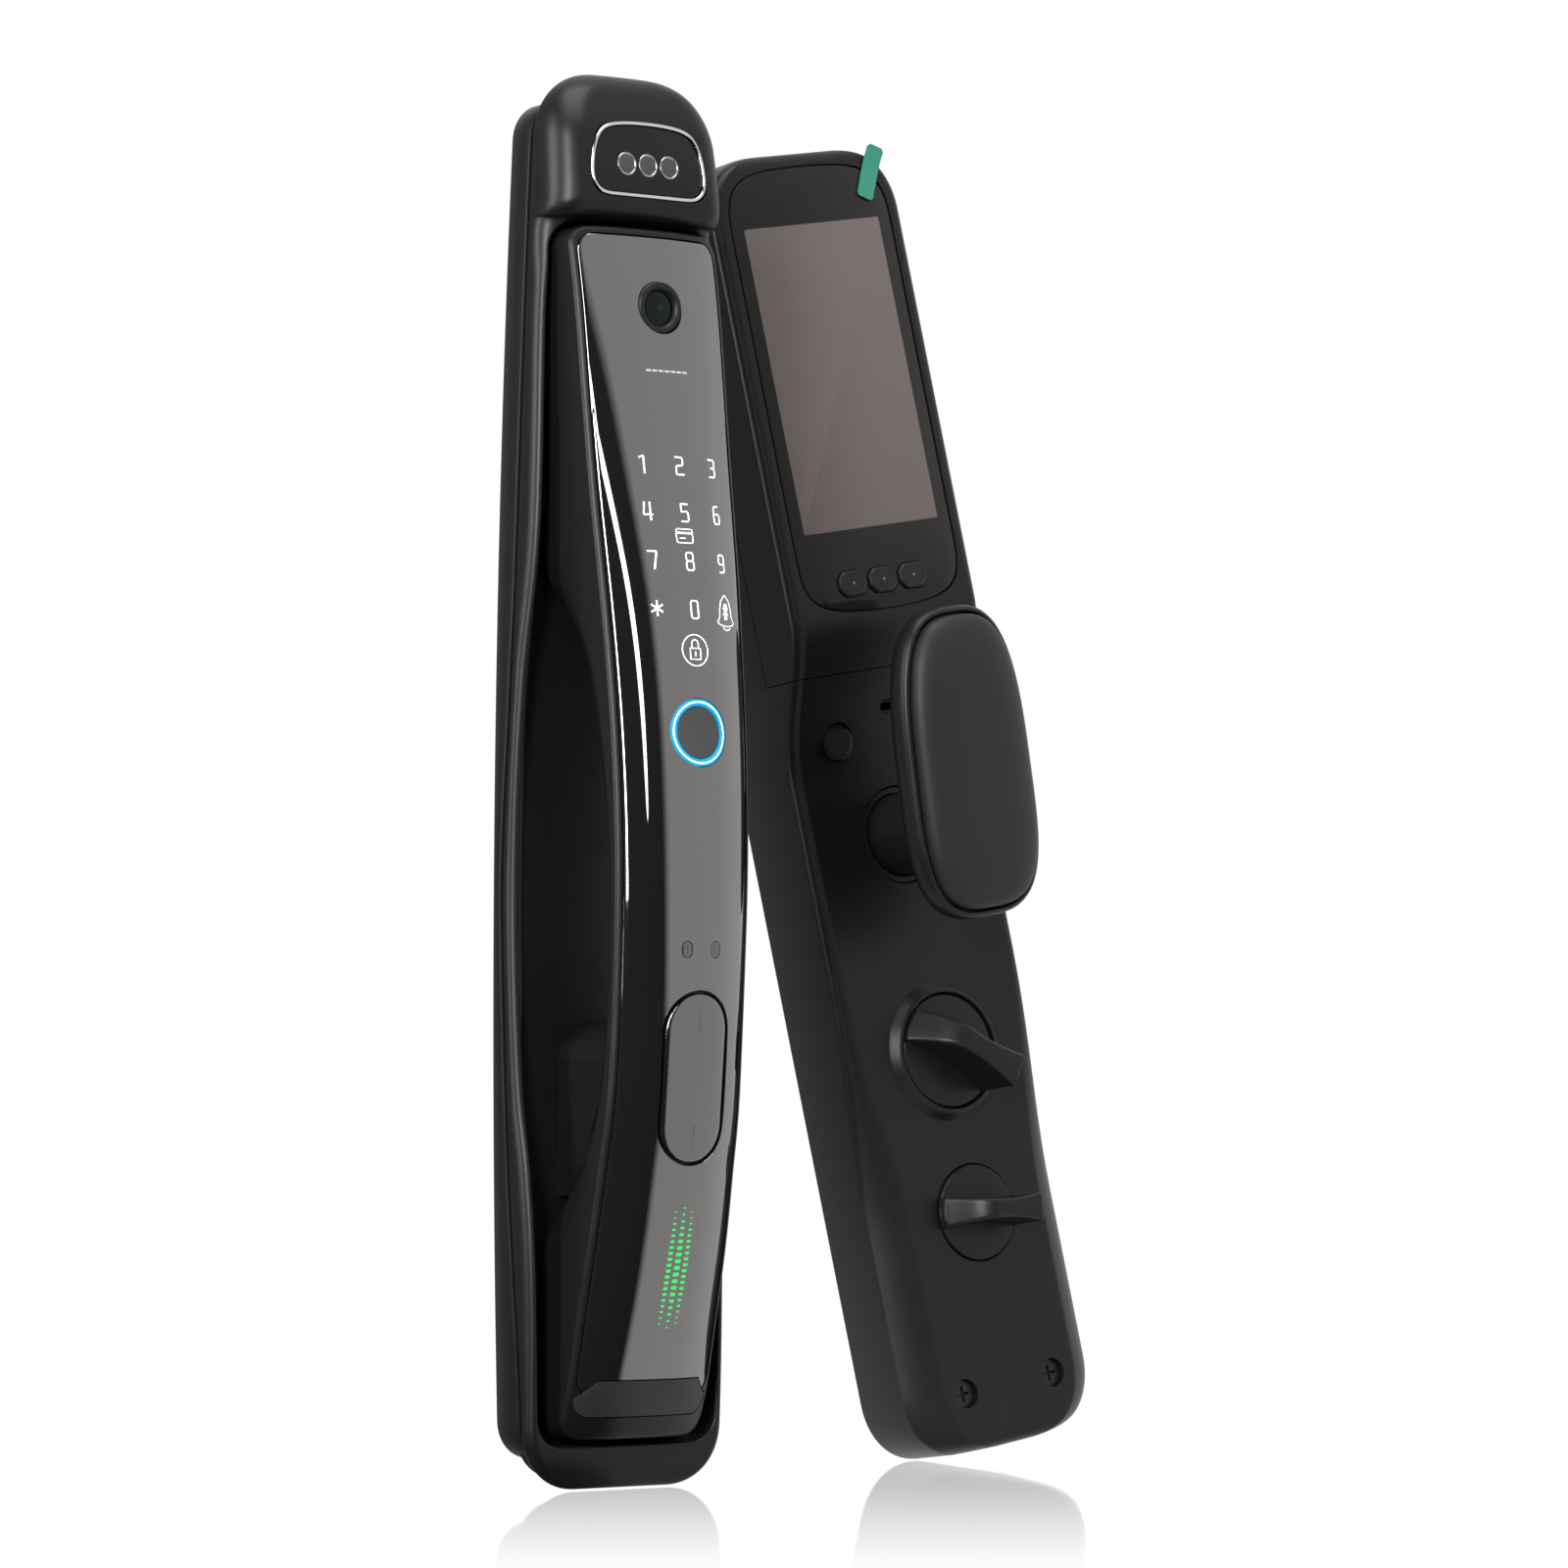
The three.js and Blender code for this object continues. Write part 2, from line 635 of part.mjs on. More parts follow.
function addBow() {
  const panelTop = bowTop - 2.5;
  const bellLevel = fromTop(BELL_CAMERA_DROP);
  const pocket = crownSheet(
    PANEL_BOTTOM - GAP,
    panelTop + GAP,
    (z) => panelHalfWidth(z) + GAP,
    -FAR,
    FAR + PANEL_THICKNESS + GAP,
    BOW_CORNER,
  );
  const cavityBottom = PANEL_BOTTOM + PANEL_LEDGE;
  const cavityTop = panelTop - PANEL_LEDGE;
  const cavityRings = levels(cavityBottom, cavityTop, 6, 20).map((z) => {
    const halfWidth = panelHalfWidth(z) - PANEL_LEDGE;
    const taper = 8 * blend(bowBack(z), BASIN_FLOOR_DEPTH + 1, BASIN_FLOOR_DEPTH + 14);
    const floor = bowBack(z) + WALL;
    const chine = Math.max(floor + 0.5, bowChine(z));
    return [
      at(-halfWidth + taper, floor, z),
      at(-halfWidth, chine, z),
      at(-halfWidth, FAR, z),
      at(halfWidth, FAR, z),
      at(halfWidth, chine, z),
      at(halfWidth - taper, floor, z),
    ];
  });
  const cylinderHole = bar(0, CYLINDER_LEVEL, CYLINDER_RADIUS + GAP, 0, FAR);
  const capBottom = PANEL_BOTTOM - END_CAP_HEIGHT;
  const capCut = block([-FAR, END_CAP_BACK - GAP, capBottom - GAP], [FAR, FAR, PANEL_BOTTOM - GAP / 2]);
  const envelope = bowEnvelope();
  const frame = envelope
    .subtract(pocket)
    .subtract(solid(loft(cavityRings)))
    .subtract(cylinderHole)
    .subtract(capCut);
  add(exterior, 'bow_handle_frame', frame, SATIN_BLACK, 0.4, 0.4);

  const endCap = envelope.intersect(block([-FAR, END_CAP_BACK, capBottom], [FAR, FAR, PANEL_BOTTOM - GAP]));
  add(exterior, 'handle_end_cap', endCap, SATIN_BLACK, 0.5, 0.3);

  const panel = crownSheet(PANEL_BOTTOM, panelTop, panelHalfWidth, 0, PANEL_THICKNESS, BOW_CORNER - 1)
    .subtract(bar(0, bellLevel, BELL_CAMERA_RADIUS + GAP, 0, FAR))
    .subtract(bar(0, FINGERPRINT_LEVEL, FINGERPRINT_RADIUS + FINGERPRINT_RING + GAP, 0, FAR, 40))
    .subtract(prism(keyCoverShape(KEY_COVER_GAP), 0, FAR))
    .subtract(sensorPrism(-1, GAP))
    .subtract(sensorPrism(1, GAP));
  add(exterior, 'touch_panel', panel, 0x1a1819, 0.08, 0.1);
}

function sensorPrism(sideSign, grow) {
  const shape = roundedRectangle(
    SENSOR_HALF_WIDTH + grow,
    SENSOR_HALF_HEIGHT + grow,
    SENSOR_HALF_WIDTH + grow,
    sideSign * SENSOR_PITCH / 2,
    SENSOR_LEVEL,
  );
  return prism(shape, 0, FAR, 4);
}

// Part of the bow's front layer, between `sink` and `sink + thickness` below the surface.
function layer(bottom, top, sink, thickness) {
  return crownSheet(bottom, top, (z) => panelHalfWidth(z) - PANEL_LEDGE - GAP, sink, thickness, LAYER_CORNER);
}

// Flat circuit board behind the touch panel, between two levels.
function flatBoard(bottom, top) {
  const rings = [bottom, top].map((z) => {
    const drop = bowCrown(z) * (BOARD_HALF_WIDTH / panelHalfWidth(z)) ** 2.4;
    const front = bowFront(z) - drop - PANEL_THICKNESS - BOARD_SINK;
    const back = front - BOARD_THICKNESS;
    return [
      at(-BOARD_HALF_WIDTH, back, z),
      at(-BOARD_HALF_WIDTH, front, z),
      at(BOARD_HALF_WIDTH, front, z),
      at(BOARD_HALF_WIDTH, back, z),
    ];
  });
  return solid(loft(rings));
}

function addBowFittings() {
  const bellLevel = fromTop(BELL_CAMERA_DROP);
  const bellFront = bowFront(bellLevel);
  const ring = bar(0, bellLevel, BELL_CAMERA_RADIUS, bellFront - 9, bellFront + 0.6)
    .subtract(bar(0, bellLevel, BELL_LENS_RADIUS + GAP, bellFront - 6, FAR))
    .subtract(bar(0, bellLevel, 2.5, 0, FAR, 16));
  add(exterior, 'doorbell_camera_barrel', ring, 0x101010, 0.25, 0.2);
  const lens = bar(0, bellLevel, BELL_LENS_RADIUS, bellFront - 5.6, bellFront - 0.4);
  add(exterior, 'doorbell_camera_lens', lens, 0x06110c, 0.04, 0);

  const printFront = bowFront(FINGERPRINT_LEVEL);
  const outer = FINGERPRINT_RADIUS + FINGERPRINT_RING;
  const guide = bar(0, FINGERPRINT_LEVEL, outer, printFront - 4, printFront, 40)
    .subtract(bar(0, FINGERPRINT_LEVEL, FINGERPRINT_RADIUS + GAP / 2, 0, FAR, 40));
  add(exterior, 'fingerprint_light_ring', guide, 0xbfe6ff, 0.3, 0, { emissive: 0x1193d6 });
  const pad = bar(0, FINGERPRINT_LEVEL, FINGERPRINT_RADIUS - GAP / 2, printFront - 4, printFront - 0.3, 40);
  add(exterior, 'fingerprint_sensor', pad, 0x2a2828, 0.35, 0.1);

  const printBoard = bar(0, FINGERPRINT_LEVEL, outer + 2, printFront - 5.6, printFront - 4.3, 32);
  add(exterior, 'fingerprint_board', printBoard, BOARD_GREEN, 0.6, 0);

  for (const [name, sideSign] of [['presence_sensor_left', -1], ['presence_sensor_right', 1]]) {
    const window = sensorPrism(sideSign, 0).intersect(layer(SENSOR_LEVEL - 8, SENSOR_LEVEL + 8, 0, 3));
    add(exterior, name, window, 0x241f22, 0.2, 0);
  }

  add(exterior, 'keypad_board', flatBoard(KEYPAD_BOTTOM, KEYPAD_TOP), BOARD_GREEN, 0.6, 0);
  add(exterior, 'status_led_board', flatBoard(LED_BOTTOM, LED_TOP), BOARD_GREEN, 0.6, 0);
}

function addKeyCover() {
  const inner = HINGE_HALF_LENGTH - HINGE_EAR;
  const bore = crossBar(HINGE_PIN_RADIUS + GAP / 2, FAR, hingeLevel, hingeDepth);
  const plate = prism(keyCoverShape(0), 0, FAR)
    .intersect(layer(KEY_COVER_LEVEL - 30, KEY_COVER_LEVEL + 30, 0, KEY_COVER_THICKNESS));
  const knuckle = crossBar(HINGE_PIN_RADIUS + 0.8, inner - GAP, hingeLevel, hingeDepth)
    .add(block(
      [-inner + GAP, hingeDepth, hingeLevel - 1.2],
      [inner - GAP, hingeDepth + HINGE_SETBACK - 1, hingeLevel + 1.2],
    ))
    .subtract(bore);
  add(exterior, 'key_cover', plate.add(knuckle), 0x2a2728, 0.1, 0.1);

  const pin = crossBar(HINGE_PIN_RADIUS, HINGE_HALF_LENGTH, hingeLevel, hingeDepth, 12);
  add(exterior, 'key_cover_hinge_pin', pin, STEEL, 0.3, 1);

  const foot = bowBack(hingeLevel) + WALL + 1;
  const earRadius = HINGE_PIN_RADIUS + 0.45;
  const bracket = block(
    [-HINGE_HALF_LENGTH, foot, hingeLevel - earRadius],
    [HINGE_HALF_LENGTH, hingeDepth, hingeLevel + earRadius],
  )
    .add(crossBar(earRadius, HINGE_HALF_LENGTH, hingeLevel, hingeDepth))
    .subtract(block([-inner, hingeDepth - HINGE_DROP - 1, 0], [inner, FAR, EXT_HEIGHT]))
    .subtract(bore);
  add(exterior, 'key_cover_bracket', bracket, 0x1b1b1c, 0.6, 0);
}

function addKeyCylinder() {
  const front = bowFront(CYLINDER_LEVEL) - 9;
  const rear = BASIN_FLOOR_DEPTH + GAP;
  const columnShape = new THREE.Shape();
  const crest = COLUMN_TOP - 12;
  columnShape.moveTo(-COLUMN_HALF_WIDTH, COLUMN_BOTTOM);
  columnShape.lineTo(COLUMN_HALF_WIDTH, COLUMN_BOTTOM);
  columnShape.lineTo(COLUMN_HALF_WIDTH, crest);
  columnShape.absellipse(0, crest, COLUMN_HALF_WIDTH, COLUMN_TOP - crest, 0, Math.PI);
  const column = prism(columnShape, rear, FAR)
    .subtract(bowEnvelope(GAP))
    .subtract(block([-FAR, bowFront(EXT_MIDDLE) - 15, 0], [FAR, FAR, EXT_HEIGHT]))
    .subtract(bar(0, CYLINDER_LEVEL, CYLINDER_RADIUS + GAP, 0, FAR));
  add(exterior, 'cylinder_column', column, SATIN_BLACK, 0.5, 0.3);

  const cylinder = bar(0, CYLINDER_LEVEL, CYLINDER_RADIUS, rear, front)
    .subtract(bar(0, CYLINDER_LEVEL, PLUG_RADIUS + GAP / 2, 0, FAR));
  add(exterior, 'key_cylinder', cylinder, STEEL, 0.35, 0.9);

  const keyway = block([-1.3, front - 24, CYLINDER_LEVEL - 4], [1.3, FAR, CYLINDER_LEVEL + 4]);
  const plug = bar(0, CYLINDER_LEVEL, PLUG_RADIUS, GAP, front).subtract(keyway);
  add(exterior, 'key_plug', plug, BRASS, 0.3, 1);
}

// ---------- interior unit ----------
const displayTop = fromIntTop(DISPLAY_TOP_DROP);
const displayBottom = displayTop - DISPLAY_HEIGHT;
const buttonLevel = fromIntTop(BUTTON_LEVEL_DROP);
const screenFloor = UPPER_DEPTH - GLASS_THICKNESS;      // seat of the glass in the cover
const SCREEN_FRAME = 1.6;                               // cover wall left under the glass
const MEMBRANE_THICKNESS = 1;
const DISPLAY_THICKNESS = 2.6;
const BUSH_RADIUS = STEM_RADIUS + GAP + STEM_BUSH_WALL;
const HUB_RADIUS = 8;
const SHOULDER_DEPTH = 15;                              // stem shoulder inside the housing
const SPINDLE_HALF_WIDTH = 3.5;
const KNOB_HUB_RADIUS = 7;
const KNOB_HUB_BACK = 16;
const BOARD_DEPTH = 21;
const PORT_WALL = 0.5;

function glassShape(grow) {
  const w = GLASS_HALF_WIDTH + grow;
  const top = fromIntTop(GLASS_TOP_DROP) + grow;
  const bottom = fromIntTop(GLASS_BOTTOM_DROP) - grow;
  const shape = new THREE.Shape();
  shape.moveTo(-w * 0.93, bottom + 6);
  shape.quadraticCurveTo(-w * 0.8, bottom, 0, bottom);
  shape.quadraticCurveTo(w * 0.8, bottom, w * 0.93, bottom + 6);
  shape.quadraticCurveTo(w, bottom + 8.5, w, bottom + 16);
  shape.lineTo(w, top - 16);
  shape.quadraticCurveTo(w, top - 3, w * 0.6, top - 1);
  shape.quadraticCurveTo(w * 0.3, top, 0, top);
  shape.quadraticCurveTo(-w * 0.3, top, -w * 0.6, top - 1);
  shape.quadraticCurveTo(-w, top - 3, -w, top - 16);
  shape.lineTo(-w, bottom + 16);
  shape.quadraticCurveTo(-w, bottom + 8.5, -w * 0.93, bottom + 6);
  return shape;
}

const buttonX = (index) => BUTTON_PITCH * (index - 1);

function buttonPrism(index, grow, depth0, depth1) {
  const shape = roundedRectangle(
    BUTTON_HALF_WIDTH + grow,
    BUTTON_HALF_HEIGHT + grow,
    2.9 + grow,
    buttonX(index),
    buttonLevel,
  );
  return prism(shape, depth0, depth1, 3);
}

const portShape = (grow) => roundedRectangle(
  PORT_HALF_WIDTH + grow,
  PORT_HALF_HEIGHT + grow,
  PORT_HALF_HEIGHT + grow,
  PORT_X,
  PORT_LEVEL,
);

// Raised collar around the big knob, sloping down to the housing face.
function knobCollar() {
  return bar(0, BIG_KNOB_LEVEL, BIG_COLLAR_RADIUS, LOWER_DEPTH - 1, LOWER_DEPTH + COLLAR_HEIGHT, 40,
    BIG_KNOB_RADIUS + KNOB_GAP + 1.1);
}

function knobWell(level, radius) {
  return bar(0, level, radius + KNOB_GAP, LOWER_DEPTH - WALL - 1.8, FAR, 40)
    .add(bar(0, level, KNOB_HUB_RADIUS + GAP, 0, FAR, 24));
}

function knobSeat(level, radius) {
  return bar(0, level, radius + KNOB_GAP + 1.6, LOWER_DEPTH - WALL - 3.6, LOWER_DEPTH - 1, 32);
}

function screwBoss(x) {
  return bar(x, SCREW_LEVEL, SCREW_RADIUS + 2, PLATE_THICKNESS + GAP, LOWER_DEPTH - 1, 20);
}

function screwHole(x) {
  return bar(x, SCREW_LEVEL, SCREW_RADIUS + GAP, LOWER_DEPTH - 5, FAR, 20)
    .add(bar(x, SCREW_LEVEL, 2.3, -1, FAR, 16));
}

function addInteriorCasing() {
  const envelope = interiorEnvelope(0);
  const hollow = interiorEnvelope(WALL, -1);
  const coverRoom = block([-FAR, COVER_SEAM_DEPTH, coverSeam], [FAR, FAR, FAR + INT_HEIGHT]);
  const openSurface = intDepth(OPEN_BUTTON_LEVEL);
  let housing = envelope
    .subtract(hollow)
    .subtract(coverRoom)
    .add(knobCollar())
    .add(knobSeat(BIG_KNOB_LEVEL, BIG_KNOB_RADIUS))
    .add(knobSeat(SMALL_KNOB_LEVEL, SMALL_KNOB_RADIUS))
    .subtract(knobWell(BIG_KNOB_LEVEL, BIG_KNOB_RADIUS))
    .subtract(knobWell(SMALL_KNOB_LEVEL, SMALL_KNOB_RADIUS))
    .subtract(bar(0, STEM_LEVEL, BUSH_RADIUS + GAP, 0, FAR))
    .subtract(bar(OPEN_BUTTON_X, OPEN_BUTTON_LEVEL, OPEN_BUTTON_RADIUS + GAP, openSurface - 8, FAR, 28))
    .subtract(prism(portShape(PORT_WALL + GAP), 0, FAR, 4));
  for (const x of [-SCREW_X, SCREW_X]) {
    housing = housing.add(screwBoss(x)).subtract(screwHole(x));
  }
  add(interior, 'interior_housing', housing, SATIN_BLACK, 0.45, 0.4);

  const plateOutline = interiorEnvelope(WALL + GAP, 0).intersect(
    block([-FAR, 0, 0], [FAR, PLATE_THICKNESS, INT_HEIGHT]),
  );
  let plate = plateOutline.subtract(bar(0, STEM_LEVEL, HUB_RADIUS + 1, -1, FAR, 24));
  for (const level of [BIG_KNOB_LEVEL, SMALL_KNOB_LEVEL]) {
    plate = plate.subtract(bar(0, level, SPINDLE_HALF_WIDTH * 1.5 + 1, -1, FAR, 24));
  }
  for (const x of [-SCREW_X, SCREW_X]) {
    plate = plate.subtract(bar(x, SCREW_LEVEL, 1.4, -1, FAR, 12));
  }
  add(interior, 'mounting_plate', plate, STEEL, 0.4, 1);

  for (const [name, x] of [['housing_screw_left', -SCREW_X], ['housing_screw_right', SCREW_X]]) {
    const head = LOWER_DEPTH - 5 + GAP;
    const screw = bar(x, SCREW_LEVEL, SCREW_RADIUS, head, head + 2.6, 20)
      .add(bar(x, SCREW_LEVEL, 1.9, PLATE_THICKNESS + GAP, head + 1, 12))
      .subtract(block([x - 2.6, head + 1.2, SCREW_LEVEL - 0.5], [x + 2.6, FAR, SCREW_LEVEL + 0.5]))
      .subtract(block([x - 0.5, head + 1.2, SCREW_LEVEL - 2.6], [x + 0.5, FAR, SCREW_LEVEL + 2.6]));
    add(interior, name, screw, 0x1b1b1c, 0.4, 0.9);
  }
}

function addBatteryCover() {
  const envelope = interiorEnvelope(0);
  const room = block(
    [-FAR, COVER_SEAM_DEPTH + GAP, coverSeam + GAP],
    [FAR, FAR, FAR + INT_HEIGHT],
  );
  const hollow = interiorEnvelope(WALL, -1).intersect(
    block([-FAR, -1, 0], [FAR, screenFloor - SCREEN_FRAME, INT_HEIGHT]),
  );
  let cover = envelope
    .intersect(room)
    .subtract(hollow)
    .subtract(prism(glassShape(GAP + 0.2), screenFloor, FAR))
    .subtract(block(
      [-DISPLAY_WIDTH / 2 - 2, 0, displayBottom - 2],
      [DISPLAY_WIDTH / 2 + 2, FAR, displayTop + 2],
    ));
  let glass = prism(glassShape(0), screenFloor + GAP, UPPER_DEPTH);
  ['call_button', 'view_button', 'menu_button'].forEach((name, index) => {
    cover = cover.subtract(buttonPrism(index, GAP, 0, FAR));
    glass = glass.subtract(buttonPrism(index, GAP, 0, FAR));
    const button = buttonPrism(index, 0, screenFloor - SCREEN_FRAME - 0.5, UPPER_DEPTH + BUTTON_PROUD - 0.5)
      .add(buttonPrism(index, -0.7, UPPER_DEPTH, UPPER_DEPTH + BUTTON_PROUD));
    add(interior, name, button, 0x1c1b1b, 0.3, 0.2);
  });
  add(interior, 'battery_cover', cover, SATIN_BLACK, 0.45, 0.4);
  add(interior, 'screen_glass', glass, 0x232120, 0.12, 0);

  const displayBack = screenFloor - DISPLAY_THICKNESS;
  const display = block(
    [-DISPLAY_WIDTH / 2 - 1, displayBack, displayBottom - 1],
    [DISPLAY_WIDTH / 2 + 1, screenFloor, displayTop + 1],
  );
  add(interior, 'display_panel', display, 0x544c4a, 0.3, 0);

  const membraneFront = screenFloor - SCREEN_FRAME - 0.5 - BUTTON_TRAVEL - GAP;
  const membrane = prism(
    roundedRectangle(BUTTON_PITCH + BUTTON_HALF_WIDTH, BUTTON_HALF_HEIGHT + 1, 2, 0, buttonLevel),
    membraneFront - MEMBRANE_THICKNESS,
    membraneFront,
  );
  add(interior, 'button_membrane', membrane, 0x8d8d90, 0.8, 0);

  const boardFront = membraneFront - MEMBRANE_THICKNESS - GAP;
  const boardBack = boardFront - BOARD_THICKNESS;
  const board = block([-26, boardBack, buttonLevel - 8], [26, boardFront, displayTop - 20]);
  add(interior, 'screen_board', board, BOARD_GREEN, 0.6, 0);

  add(interior, 'film_pull_tab', pullTab(), 0x00785f, 0.3, 0);
}

// Tab of the protective film: a tail on the glass and a free end past the upper corner.
function pullTab() {
  const [halfWidth, thickness, tail, free] = [3.2, 0.4, 8, 10];
  const rings = [-tail, 0, free * 0.5, free].map((along) => {
    const lift = UPPER_DEPTH + GAP + 1.2 * Math.max(0, along / free) ** 2;
    return [
      at(-halfWidth, lift, along),
      at(halfWidth, lift, along),
      at(halfWidth, lift + thickness, along),
      at(-halfWidth, lift + thickness, along),
    ];
  });
  return solid(loft(rings))
    .rotate([0, 26, 0])
    .translate([GLASS_HALF_WIDTH - 5.8, 0, fromIntTop(GLASS_TOP_DROP + 5)]);
}

function addInteriorElectronics() {
  const battery = prism(roundedRectangle(30, 56, 3, 0, (displayTop + displayBottom) / 2 + 4), 4, 21, 4);
  add(interior, 'battery_pack', battery, 0x2f5f9a, 0.5, 0);

  const board = block(
    [OPEN_BUTTON_X - 8, BOARD_DEPTH - BOARD_THICKNESS, OPEN_BUTTON_LEVEL - 8],
    [PORT_X + 12, BOARD_DEPTH, PORT_LEVEL + 7],
  );
  add(interior, 'control_board', board, BOARD_GREEN, 0.6, 0);

  const portFront = intDepth(PORT_LEVEL) - 1.2;
  const socket = prism(portShape(PORT_WALL), BOARD_DEPTH + GAP, portFront, 4)
    .subtract(prism(portShape(0), BOARD_DEPTH + GAP + 1, FAR, 4));
  add(interior, 'charging_socket', socket, STEEL, 0.3, 1);

  const surface = intDepth(OPEN_BUTTON_LEVEL);
  const button = bar(OPEN_BUTTON_X, OPEN_BUTTON_LEVEL, OPEN_BUTTON_RADIUS, surface - 3, surface + 0.9, 28)
    .add(bar(OPEN_BUTTON_X, OPEN_BUTTON_LEVEL, 2, BOARD_DEPTH + GAP + OPEN_BUTTON_TRAVEL, surface - 2, 12));
  add(interior, 'open_button', button, SATIN_BLACK, 0.4, 0.2);

  const speaker = bar(0, SMALL_KNOB_LEVEL - 36, 13, 6, 12, 28);
  add(interior, 'chime_speaker', speaker, 0x303030, 0.6, 0.3);
}

function superellipse(halfWidth, halfHeight, count = 28) {
  const points = [];
  for (let i = 0; i < count; i += 1) {
    const angle = 2 * Math.PI * (i + 0.5) / count;
    const [c, s] = [Math.cos(angle), Math.sin(angle)];
    const taper = 1 - 0.07 * s;                 // the tip is a little narrower
    const x = halfWidth * taper * Math.sign(c) * Math.abs(c) ** 0.62;
    points.push([x, halfHeight * Math.sign(s) * Math.abs(s) ** 0.62]);
  }
  return points;
}

// Stack of superellipse outlines: rows of [shrink, depth].
function paddleStack(rows) {
  return solid(loft(rows.map(([shrink, depth]) => {
    const outline = superellipse(PADDLE_HALF_WIDTH - shrink, PADDLE_HEIGHT / 2 - shrink);
    return outline.map(([x, z]) => at(x, depth, z));
  })));
}

// Place a solid drawn around the paddle centre onto the stem.
function onStem(body) {
  const middle = STEM_LEVEL + PADDLE_ABOVE_STEM;
  return body.rotate([PADDLE_LEAN, 0, 0]).translate([0, -PADDLE_BACK_DEPTH, middle]);
}

function coilSpring(radius, wire, turns, depth0, depth1, level) {
  const points = [];
  const steps = turns * 12;
  for (let i = 0; i <= steps; i += 1) {
    const angle = 2 * Math.PI * turns * i / steps;
    const depth = depth0 + (depth1 - depth0) * i / steps;
    points.push(at(radius * Math.cos(angle), depth, radius * Math.sin(angle)));
  }
  const wireSection = new THREE.Shape();
  wireSection.absarc(0, 0, wire, 0, 2 * Math.PI);
  const geometry = new THREE.ExtrudeGeometry(wireSection, {
    steps,
    curveSegments: 5,
    bevelEnabled: false,
    extrudePath: new THREE.CatmullRomCurve3(points),
  });
  geometry.translate(0, 0, level);
  return solid(geometry);
}

function addInteriorHandle() {
  const back = PADDLE_THICKNESS;
  const cup = paddleStack([[9, -1], [3, 1.5], [0.6, 5], [0, 8], [0.9, 10.8], [2.2, back]])
    .subtract(paddleStack([[4.6, 7], [4.6, FAR]]));
  add(interior, 'paddle_frame', onStem(cup), SATIN_BLACK, 0.45, 0.3);

  const edge = 4.6 + PAD_GROOVE;
  const pad = paddleStack([
    [edge + 1, 7 + GAP],
    [edge, back - 0.5],
    [edge + 1, back + 1.6],
    [edge + 4, back + PAD_BULGE * 0.6],
    [edge + 9.5, back + PAD_BULGE * 0.93],
    [edge + 15.5, back + PAD_BULGE],
  ]);
  add(interior, 'paddle_pad', onStem(pad), 0x2a2827, 0.5, 0.1);

  const outside = onStem(paddleStack([[8.7, -1 - GAP], [2.7, 1.5 - GAP], [0, 5], [0, FAR]]));
  const stem = bar(0, STEM_LEVEL, STEM_RADIUS, SHOULDER_DEPTH, PADDLE_BACK_DEPTH + 6)
    .subtract(outside)
    .add(bar(0, STEM_LEVEL, HUB_RADIUS, PLATE_THICKNESS + 1, SHOULDER_DEPTH + 1, 28))
    .subtract(block(
      [-SPINDLE_HALF_WIDTH, 0, STEM_LEVEL - SPINDLE_HALF_WIDTH],
      [SPINDLE_HALF_WIDTH, SHOULDER_DEPTH + 8, STEM_LEVEL + SPINDLE_HALF_WIDTH],
    ));
  add(interior, 'handle_stem', stem, SATIN_BLACK, 0.45, 0.4);

  const bush = bar(0, STEM_LEVEL, BUSH_RADIUS, LOWER_DEPTH - 13, LOWER_DEPTH - 0.6)
    .subtract(bar(0, STEM_LEVEL, STEM_RADIUS + GAP, 0, FAR));
  add(interior, 'handle_bush', bush, 0x151515, 0.6, 0);

  const spring = coilSpring(HUB_RADIUS + 2, 0.8, 3, SHOULDER_DEPTH - 8.5, SHOULDER_DEPTH - 1.4, STEM_LEVEL);
  add(interior, 'handle_return_spring', spring, STEEL, 0.3, 1);
}

// Grip blade of a knob, centred on the axis: waisted in plan, sloped at one end.
function knobBlade(radius, waist, flare, base, crest) {
  const plan = new THREE.Shape();
  plan.moveTo(-radius, -flare);
  plan.quadraticCurveTo(0, -2 * waist + flare, radius, -flare);
  plan.lineTo(radius, flare);
  plan.quadraticCurveTo(0, 2 * waist - flare, -radius, flare);
  const sideView = new THREE.Shape();
  sideView.moveTo(-radius, base);
  sideView.lineTo(radius, base);
  sideView.lineTo(radius, crest);
  sideView.lineTo(-radius * 0.25, crest);
  sideView.quadraticCurveTo(-radius * 0.8, crest - 1, -radius * 0.98, base + 1.5);
  const geometry = new THREE.ExtrudeGeometry(sideView, {
    depth: 4 * flare,
    bevelEnabled: false,
    curveSegments: 6,
  });
  geometry.translate(0, 0, -2 * flare);
  geometry.rotateX(Math.PI);
  return prism(plan, base, crest, 6).intersect(solid(geometry));
}

function addKnob(name, level, radius, face, crest, turn) {
  const disc = bar(0, 0, radius, LOWER_DEPTH - WALL - 1.5, face, 40)
    .add(bar(0, 0, KNOB_HUB_RADIUS, KNOB_HUB_BACK, face - 1, 24));
  const round = bar(0, 0, radius, 0, FAR, 40);
  const blade = knobBlade(radius, radius * 0.2, radius * 0.3, face - 1, crest).intersect(round);
  const knob = disc.add(blade).rotate([0, turn, 0]).translate([0, 0, level]);
  add(interior, `${name}_knob`, knob, SATIN_BLACK, 0.45, 0.3);

  const half = SPINDLE_HALF_WIDTH;
  const spindle = block([-half, GAP, -half], [half, KNOB_HUB_BACK - GAP, half])
    .rotate([0, turn, 0])
    .translate([0, 0, level]);
  add(interior, `${name}_spindle`, spindle, STEEL, 0.3, 1);
}

addExteriorCasing();
addFaceWindow();
addBow();
addBowFittings();
addKeyCover();
addKeyCylinder();

